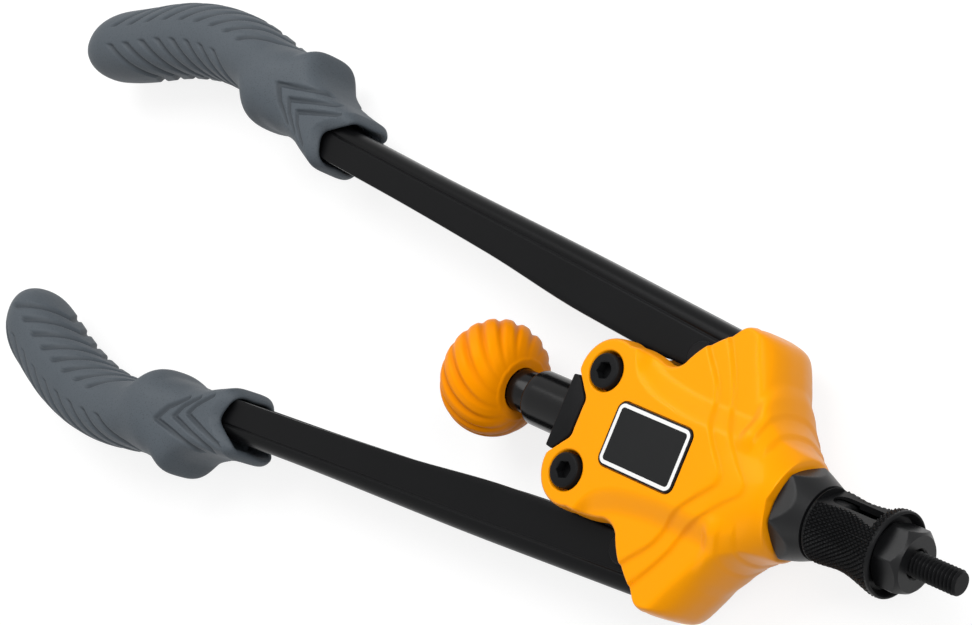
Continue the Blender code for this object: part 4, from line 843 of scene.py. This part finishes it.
KNOB_X = -65.3
KNOB_RADIUS = 15.2
KNOB_HALF_LENGTH = 10.6
KNOB_LOBES = 15
KNOB_COLUMNS = 480
LOBE_DEPTH = 0.8
NECK_RADIUS = 5.5
ROD_RADIUS = 4.0
GRUB_ANGLE = np.radians(128)
KNOB_ORANGE = (1.0, 0.31, 0.0, 1.0)
KNOB_SHADE = (0.86, 0.23, 0.0, 1.0)


def knob_grid():
    """Rows run from the rear pole forwards, and then back inside the front socket. The radius is a sine to a
    low power, so that the ball is flattened, and each groove between lobes dips by a narrow cosine hump."""
    row = np.concatenate([np.linspace(0.03, 0.34, 12), np.linspace(0.36, np.pi - 0.40, 118)])[:, None]
    angle = np.arange(KNOB_COLUMNS) * 2 * np.pi / KNOB_COLUMNS
    x = np.broadcast_to(KNOB_X - KNOB_HALF_LENGTH * np.cos(row), (len(row), KNOB_COLUMNS))
    base = KNOB_RADIUS * np.sin(row) ** 0.62
    groove = np.abs(np.cos(KNOB_LOBES * angle / 2)) ** 5
    depth = LOBE_DEPTH * np.sin(row) ** 2.2 * groove
    swirl = 0.62 * (row - np.pi / 2)
    radius = base - depth
    body = np.stack([x, radius * np.cos(angle + swirl), radius * np.sin(angle + swirl)], -1)
    front = body[-1]
    socket = (NECK_RADIUS + 0.15) * np.stack([np.cos(angle + swirl[-1]), np.sin(angle + swirl[-1])], -1)
    rim = [np.column_stack([front[:, 0] + forward, front[:, 1:] * keep])
           for forward, keep in ((0.25, 0.97), (0.35, 0.92), (0.3, 0.86))]
    rim += [np.column_stack([front[:, 0] + forward, socket]) for forward in (0.0, -9.0)]
    # Painted shade mask: the grooves between lobes, strongest round the ball's middle.
    between = np.broadcast_to(groove * np.sin(row) ** 2, radius.shape)
    return np.concatenate([body, np.stack(rim)]), np.concatenate([between, np.zeros((len(rim), KNOB_COLUMNS))])


def knob_plastic():
    """Dense orange-yellow plastic with a dull satin sheen, and painted shade between its lobes."""
    material, nodes, links, shader = fresh_material("knob_plastic", KNOB_ORANGE, 0.45)
    shader.inputs["Specular IOR Level"].default_value = 0.3
    shader.inputs["Specular Tint"].default_value = (1.0, 0.5, 0.05, 1.0)
    uneven = add_unevenness(nodes, links, shader, KNOB_ORANGE, KNOB_SHADE, 0.25, 1300.0, 120.0, 0.45, 0.12, 0.2, 0.03)
    # Painted shade: the colour is mixed towards a dark orange in the grooves between the lobes.
    groove = nodes.new("ShaderNodeAttribute")
    groove.attribute_name = "painted_lobe_shade"
    share = computed(nodes, links, "MULTIPLY", groove.outputs["Fac"], 0.6)
    mixed = blended(nodes, links, share, uneven.outputs["Color"], (0.62, 0.15, 0.0, 1.0))
    links.new(mixed, shader.inputs["Base Color"])
    return material


knob_points, knob_lobe_shade = knob_grid()
knob_whole = skin("fluted_knob", knob_points)
name_value(knob_whole, "painted_lobe_shade", np.concatenate([knob_lobe_shade.reshape(-1), [0.0, 0.0]]))
screw_hole = turned("screw_hole", [(0.0, 2.3), (25.0, 2.3)], 40)


def along_grub(mesh):
    """Stands a mesh made about the rod axis on the line of the knob's grub screw."""
    mesh.transform(Matrix.Translation(Vector((KNOB_X, 0, AXIS_HEIGHT)) * MM) @ Matrix.Rotation(GRUB_ANGLE, 4, "X")
                   @ Matrix.Rotation(-np.pi / 2, 4, "Y") @ Matrix.Translation(Vector((0, 0, -AXIS_HEIGHT)) * MM))
    return mesh


knob_mesh = worked("fluted_knob", knob_whole, [along_grub(screw_hole)])
put_in_place("fluted_knob", knob_mesh, knob_plastic(), "spindle", "yellow_knob_plastic", "knob", sharp=60)
grub_profile = [(4.3, 1.6), (4.5, 1.85), (9.9, 1.85), (10.1, 1.6), (10.1, 1.0), (8.4, 0.9)]
put_in_place("knob_set_screw", along_grub(turned("knob_set_screw", grub_profile, 48)), black_steel, "spindle",
             "black_oxide_steel", "knob_grub_screw", sharp=30)


# Pull rod and guide sleeve: the glossy black neck behind the knob and the tube that runs in the rear block, both
# turned from steel and lacquered. The rod goes on through the crosshead to the mandrel coupling.

SLEEVE_REAR = -48.5
SLEEVE_EDGE = 0.6
HUB_REAR = -25.4


def glossy_lacquer():
    """Black gloss lacquer over turned steel, with faint rings left by the tool."""
    material, nodes, links, shader = fresh_material("glossy_black_lacquer", LACQUER_BLACK, 0.22)
    shader.inputs["IOR"].default_value = 1.33
    shader.inputs["Specular IOR Level"].default_value = 0.4
    add_unevenness(nodes, links, shader, LACQUER_BLACK, (0.006, 0.006, 0.0065, 1.0), 0.5, 700.0, 60.0, 0.2, 0.1, 0.06,
                   0.03)
    return material


gloss_black = glossy_lacquer()
quarter = np.linspace(0, np.pi / 2, 5)
sleeve_outside = [(SLEEVE_REAR + SLEEVE_EDGE * (1 - np.sin(a)), SLEEVE_BUSH_RADIUS - SLEEVE_EDGE * (1 - np.cos(a)))
                  for a in quarter[::-1]]
sleeve_line = ([(SLEEVE_REAR + 0.3, ROD_RADIUS + FIT), (SLEEVE_REAR, ROD_RADIUS + FIT + 0.3)] + sleeve_outside
               + [(x, SLEEVE_BUSH_RADIUS) for x in np.linspace(-46.0, HUB_REAR - FIT, 12)]
               + [(HUB_REAR - FIT, ROD_RADIUS + FIT)])
flat_tool = upright_block("flat_tool", [(-50.0, -9.0), (-41.5, -9.0), (-41.5, 9.0), (-50.0, 9.0)], -12.0,
                          -SLEEVE_BUSH_RADIUS + 0.8)
sleeve_mesh = worked("guide_tube", turned("guide_tube", sleeve_line, 128, looped=True), [flat_tool])
put_in_place("guide_tube", sleeve_mesh, gloss_black, "crosshead", "black_lacquer", "guide_sleeve", sharp=40)
neck_front = SLEEVE_REAR - FIT
neck = [(neck_front - 6.6, NECK_RADIUS - 0.3), (neck_front - 6.3, NECK_RADIUS),
        (neck_front - 0.5, NECK_RADIUS), (neck_front - 0.15, NECK_RADIUS - 0.15), (neck_front, NECK_RADIUS - 0.5)]
rod_line = ([(KNOB_X - 4.0, 0.4), (KNOB_X - 4.0, ROD_RADIUS), (neck_front - 6.6, ROD_RADIUS)] + neck
            + [(neck_front, ROD_RADIUS), (-13.0, ROD_RADIUS), (-13.0, 6.3), (-10.8, 6.3), (-10.8, ROD_RADIUS),
               (35.2, ROD_RADIUS), (35.2, 2.5), (41.5, 2.5), (41.5, 0.4)])
put_in_place("turned_pull_rod", turned("turned_pull_rod", rod_line, 96), gloss_black, "spindle", "black_lacquer",
             "pull_rod", sharp=30)


# Nose: a black-oxide lock nut, a knurled sleeve with a window on its side, and the hexagonal anvil that bears on
# the fastener. The threaded mandrel runs through them from its coupling to the tip.

NUT_AF = 20.0
NUT_REAR = 36.1
NUT_FRONT = 43.9
NOSE_COLUMNS = 240
SLEEVE_START = 44.2
SLEEVE_FRONT = 64.2
SLEEVE_OUTLINE = [(44.4, 8.6), (46, 8.6), (48, 8.4), (50, 8.15), (52, 8.0), (54, 8.1), (56, 8.4), (58, 8.85),
                  (60, 9.35), (62, 9.85), (63, 10.05)]
KNURL_FRONT = 63.3
KNURL_WAVES = 25
KNURL_TWIST = 0.09
WINDOW_ANGLE = np.radians(64)
WINDOW_REAR = 46.0
WINDOW_FRONT = 60.5
WINDOW_WIDTH = 4.8
WINDOW_FLAT = 7.05
ANVIL_AF = 14.0
ANVIL_REAR = 62.4
ANVIL_FRONT = 69.6
MANDREL_RADIUS = 3.0
MANDREL_TIP = 81.3
THREAD_PITCH = 1.0


def hexagon_rows(rows, across_flats, start, columns=NOSE_COLUMNS):
    """Rows of a six-sided bar turned down to a limit: at each (x, limit) the radius is the lesser of the flats'
    distance and the limit. A little of each corner is rubbed off."""
    angle = np.arange(columns) * 2 * np.pi / columns
    folded = (angle - start + np.pi / 6) % (np.pi / 3) - np.pi / 6
    flats = across_flats / 2 / np.cos(np.pi / 6 - np.abs(folded))
    flats = np.minimum(flats, across_flats / np.sqrt(3) - 0.12)
    x, limit = np.array(rows, float).T
    radius = np.minimum(flats[None, :], limit[:, None])
    return np.stack([np.broadcast_to(x[:, None], radius.shape), radius * np.cos(angle), radius * np.sin(angle)], -1)


def chamfered_hexagon(rear, front, across_flats, rear_edge, front_edge, bore, rear_slope, front_slope):
    """Limit line of a chamfered hexagon with a bore: a cone at both ends, sampled closely so that its curved
    line with each flat is clean."""
    corner = across_flats / np.sqrt(3) + 0.01
    back = [(rear + (limit - rear_edge) * rear_slope, limit) for limit in np.linspace(rear_edge, corner, 12)]
    fore = [(front - (limit - front_edge) * front_slope, limit) for limit in np.linspace(corner, front_edge, 16)]
    return [(rear, bore), (rear, rear_edge - 0.6)] + back + fore + [(front, front_edge - 0.5), (front, bore + 0.4),
                                                                    (front - 0.4, bore)]


nose_steel = black_oxide("nose_black_oxide", 0.36, 0.10, 1500.0, 0.2)
nut_rows = chamfered_hexagon(NUT_REAR, NUT_FRONT, NUT_AF, NUT_AF / 2 - 0.3, NUT_AF / 2 - 1.2, SPIGOT_RADIUS + FIT,
                             0.62, 2.4)
put_in_place("nose_lock_nut", skin("nose_lock_nut", hexagon_rows(nut_rows, NUT_AF, np.radians(-9)), looped=True),
             nose_steel, "locking_nut", "black_oxide_steel", "lock_nut", sharp=22)

anvil_rows = chamfered_hexagon(ANVIL_REAR, ANVIL_FRONT, ANVIL_AF, ANVIL_AF / 2 - 0.2, ANVIL_AF / 2 - 0.5,
                               MANDREL_RADIUS + FIT, 0.9, 1.1)
shank = turned("anvil_shank", [(58.6, MANDREL_RADIUS + FIT), (58.6, 4.7), (58.9, 5.0), (63.0, 5.0),
                               (63.0, MANDREL_RADIUS + FIT)], 96, looped=True)
anvil_mesh = worked("hex_anvil", skin("hex_anvil", hexagon_rows(anvil_rows, ANVIL_AF, np.radians(42)), looped=True),
                    (), [shank])
put_in_place("hex_anvil", anvil_mesh, nose_steel, "nose", "black_oxide_steel", "anvil", sharp=22)


def knurled_sleeve():
    """Outside of the sleeve: a small plain shoulder, a waisted barrel with diamond knurling up to its flare, a
    thin plain rim and the dish behind it. The knurl is the lower of two ridges that wind in opposite senses."""
    columns = 640
    angle = np.arange(columns) * 2 * np.pi / columns
    x = np.concatenate([[SLEEVE_START, SLEEVE_START + 0.15, SLEEVE_START + 0.4], np.linspace(44.8, 63.4, 95)])
    radius = np.concatenate([[8.3, 8.5, 8.6], smooth_line(SLEEVE_OUTLINE, x[3:])])
    rim = np.array([(63.6, 10.1), (63.85, 10.1), (64.1, 10.0), (SLEEVE_FRONT, 9.85), (SLEEVE_FRONT, 9.55),
                    (64.0, 9.4), (62.2, 8.5), (62.1, 8.3), (62.1, 5.3), (61.9, 5.3), (61.9, 6.0), (51.0, 6.0),
                    (51.0, 6.6), (SLEEVE_START, 6.6)])
    outside = (np.arange(len(x) + len(rim)) < len(x))[:, None]
    x = np.concatenate([x, rim[:, 0]])[:, None]
    radius = np.concatenate([radius, rim[:, 1]])[:, None]
    where = ease((x - SLEEVE_START - 0.5) / 0.5) * ease((KNURL_FRONT - x) / 0.4) * outside
    first = np.abs(np.sin(KNURL_WAVES * (angle + (x - SLEEVE_START) * KNURL_TWIST)))
    second = np.abs(np.sin(KNURL_WAVES * (angle - (x - SLEEVE_START) * KNURL_TWIST)))
    radius = radius + where * (np.minimum(first, second) * 0.6 - 0.38)
    x = np.broadcast_to(x, radius.shape)
    return np.stack([x, radius * np.cos(angle), radius * np.sin(angle)], -1)


def round_ended(rear, front, half, steps=12):
    """Plan of a slot with half-round ends."""
    lean = np.linspace(-np.pi / 2, np.pi / 2, steps)
    fore = np.stack([front - half + half * np.cos(lean), half * np.sin(lean)], -1)
    return np.vstack([fore, np.stack([rear + half - half * np.cos(lean), -half * np.sin(lean)], -1)])


def about_axis(mesh, angle):
    """Turns a mesh about the rod axis."""
    lift = Matrix.Translation(Vector((0, 0, AXIS_HEIGHT)) * MM)
    mesh.transform(lift @ Matrix.Rotation(angle, 4, "X") @ lift.inverted())
    return mesh


window = upright_block("window", round_ended(WINDOW_REAR, WINDOW_FRONT, WINDOW_WIDTH / 2), 0.0, 20.0)
window_flat = upright_block("window_flat", [(WINDOW_REAR - 1.3, -12), (WINDOW_FRONT + 0.6, -12),
                                            (WINDOW_FRONT + 0.6, 12), (WINDOW_REAR - 1.3, 12)], WINDOW_FLAT, 20.0)
sleeve_mesh = worked("knurled_sleeve", skin("knurled_sleeve", knurled_sleeve(), looped=True),
                     [about_axis(window_flat, -WINDOW_ANGLE), about_axis(window, -WINDOW_ANGLE)])
put_in_place("knurled_sleeve", sleeve_mesh, black_oxide("black_oxide_knurl", 0.36, 0.1), "nose", "black_oxide_steel",
             "nose_sleeve", sharp=24)


def threaded_bar(rear, front, radius, pitch, depth, columns=64, rows_per_turn=12):
    """A threaded rod: the radius follows a rounded vee once per pitch along the axis, shifted by the angle so
    that it winds, fades out at the rear, and is cut by a chamfer at the tip."""
    length = front - rear
    x = np.linspace(rear, front, int(length / pitch * rows_per_turn))[:, None]
    angle = np.arange(columns) * 2 * np.pi / columns
    phase = (x / pitch - angle / (2 * np.pi)) % 1.0
    vee = np.clip(np.abs(phase - 0.5) * 2 * 1.25 - 0.1, 0.0, 1.0)
    thread = radius - depth * vee
    thread = np.minimum(thread, radius - depth * 0.2 + (front - x) * 1.0 - 0.35)
    thread = np.maximum(thread, 0.3)
    return np.stack([np.broadcast_to(x, thread.shape), thread * np.cos(angle), thread * np.sin(angle)], -1)


put_in_place("threaded_mandrel", skin("threaded_mandrel", threaded_bar(42.3, MANDREL_TIP, MANDREL_RADIUS,
                                                                       THREAD_PITCH, 0.62)),
             black_oxide("black_oxide_thread", 0.34, 0.06), "spindle", "black_oxide_steel", "mandrel", sharp=30)
coupling_rows = chamfered_hexagon(35.5, 50.5, 8.0, 3.9, 3.7, MANDREL_RADIUS + FIT, 0.6, 0.9)
put_in_place("hex_coupling", skin("hex_coupling", hexagon_rows(coupling_rows, 8.0, 0.0, 144), looped=True),
             black_steel, "spindle", "black_oxide_steel", "mandrel_coupling", sharp=22)


# Inner mechanism: the forged crosshead, toothed lever heads, rack tube, washer and lever pins. They are steel,
# seen through the open back of the housing. The CAD pieces stay and take their finish here.


def bright_steel():
    """Machined and oiled steel: mid grey, with fine scratches along the tool's travel and darker oil patches."""
    grey = (0.34, 0.34, 0.35, 1.0)
    material, nodes, links, shader = fresh_material("oiled_bright_steel", grey, 0.36, metallic=1.0)
    add_unevenness(nodes, links, shader, grey, (0.16, 0.16, 0.17, 1.0), 0.7, 900.0, 150.0, 0.36, 0.2, 0.15, 0.03)
    return material


def bearing_bronze():
    """Sintered bronze: warm brown metal with fine pores."""
    brown = (0.42, 0.24, 0.09, 1.0)
    material, nodes, links, shader = fresh_material("bearing_bronze", brown, 0.4, metallic=1.0)
    add_unevenness(nodes, links, shader, brown, (0.22, 0.12, 0.05, 1.0), 0.6, 2000.0, 180.0, 0.42, 0.2, 0.25, 0.03)
    return material


steel_finish = bright_steel()
finishes = {"yoke": steel_finish, "left_toothed_head": steel_finish, "right_toothed_head": steel_finish,
            "left_pin_clip": steel_finish, "right_pin_clip": steel_finish, "rack_tube": black_steel,
            "left_lever_pin": black_steel, "right_lever_pin": black_steel, "front_thrust_washer": bearing_bronze()}
for node, finish in finishes.items():
    for material_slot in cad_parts[node].material_slots:
        material_slot.material = finish


# Light and view: the tool lies on a sheet of white paper under three large soft lamps and an even white
# surrounding. The camera sees the surrounding as pure white, like the paper behind a catalogue photograph.

EVEN_LIGHT = 0.35
SEEN_WHITE = 1.0
PAPER_HALF = 3.0
PAPER_LEVEL = -0.0004


def looked_at(nodes, links):
    """1 where a camera ray, a mirrored ray or a ray through glass meets the surface, and 0 for its light."""
    path = nodes.new("ShaderNodeLightPath")
    mirrored = computed(nodes, links, "MAXIMUM", path.outputs["Is Camera Ray"], path.outputs["Is Glossy Ray"])
    return computed(nodes, links, "MAXIMUM", mirrored, path.outputs["Is Transmission Ray"])


world = bpy.data.worlds.new("white_studio")
bpy.context.scene.world = world
world.use_nodes = True
nodes = world.node_tree.nodes
links = world.node_tree.links
nodes.clear()
choice = nodes.new("ShaderNodeMixShader")
links.new(looked_at(nodes, links), choice.inputs["Fac"])
for socket, strength in ((choice.inputs[1], EVEN_LIGHT), (choice.inputs[2], SEEN_WHITE)):
    white = nodes.new("ShaderNodeBackground")
    white.inputs["Color"].default_value = (1.0, 1.0, 1.0, 1.0)
    white.inputs["Strength"].default_value = strength
    links.new(white.outputs["Background"], socket)
world_out = nodes.new("ShaderNodeOutputWorld")
links.new(choice.outputs["Shader"], world_out.inputs["Surface"])


def soft_lamp(name, place, aim, width, height, power):
    """A rectangular area light at a place, turned to face the aim point."""
    light = bpy.data.lights.new(name, "AREA")
    light.shape = "RECTANGLE"
    light.size = width
    light.size_y = height
    light.energy = power
    lamp = bpy.data.objects.new(name, light)
    bpy.context.scene.collection.objects.link(lamp)
    lamp.location = place
    lamp.rotation_mode = "QUATERNION"
    lamp.rotation_quaternion = (Vector(aim) - Vector(place)).to_track_quat("-Z", "Y")
    return lamp


soft_lamp("lamp_above", (-0.30, 0.35, 0.75), (-0.08, 0.0, 0.0), 0.6, 0.5, 4.0)
soft_lamp("lamp_front", (0.50, 0.30, 0.50), (0.0, 0.0, 0.0), 0.5, 0.4, 3.0)
soft_lamp("lamp_side", (-0.10, -0.60, 0.45), (-0.05, 0.0, 0.0), 0.5, 0.4, 0.7)


def paper_white():
    """Matte white paper. Where it is looked at, a plain white glow is mixed in, so that it renders as white and
    keeps only a light shadow of the tool."""
    material, nodes, links, shader = fresh_material("white_paper", (0.22, 0.22, 0.22, 1.0), 0.9)
    shader.inputs["Emission Color"].default_value = (1.0, 1.0, 1.0, 1.0)
    glow = computed(nodes, links, "MULTIPLY", looked_at(nodes, links), 0.82)
    links.new(glow, shader.inputs["Emission Strength"])
    return material


paper_mesh = bpy.data.meshes.new("paper_table")
paper_mesh.from_pydata([(x * PAPER_HALF, y * PAPER_HALF, PAPER_LEVEL) for x, y in ((-1, -1), (1, -1), (1, 1), (-1, 1))],
                       [], [(0, 1, 2, 3)])
paper_mesh.materials.append(paper_white())
paper_table = bpy.data.objects.new("paper_table", paper_mesh)
bpy.context.scene.collection.objects.link(paper_table)

camera_data = bpy.data.cameras.new("photo_camera")
camera_data.sensor_fit = "HORIZONTAL"
camera_data.sensor_width = 36.0
camera_data.lens = 84.62
camera = bpy.data.objects.new("photo_camera", camera_data)
bpy.context.scene.collection.objects.link(camera)
camera.matrix_world = Matrix((
    (0.66362368, -0.27541020, 0.69552342, 0.33253332),
    (0.37919495, 0.92530540, 0.00459481, 0.01708900),
    (-0.64483703, 0.26068974, 0.71848873, 0.43874556),
    (0.0, 0.0, 0.0, 1.0)))
bpy.context.scene.camera = camera
bpy.context.scene.view_settings.view_transform = "Standard"
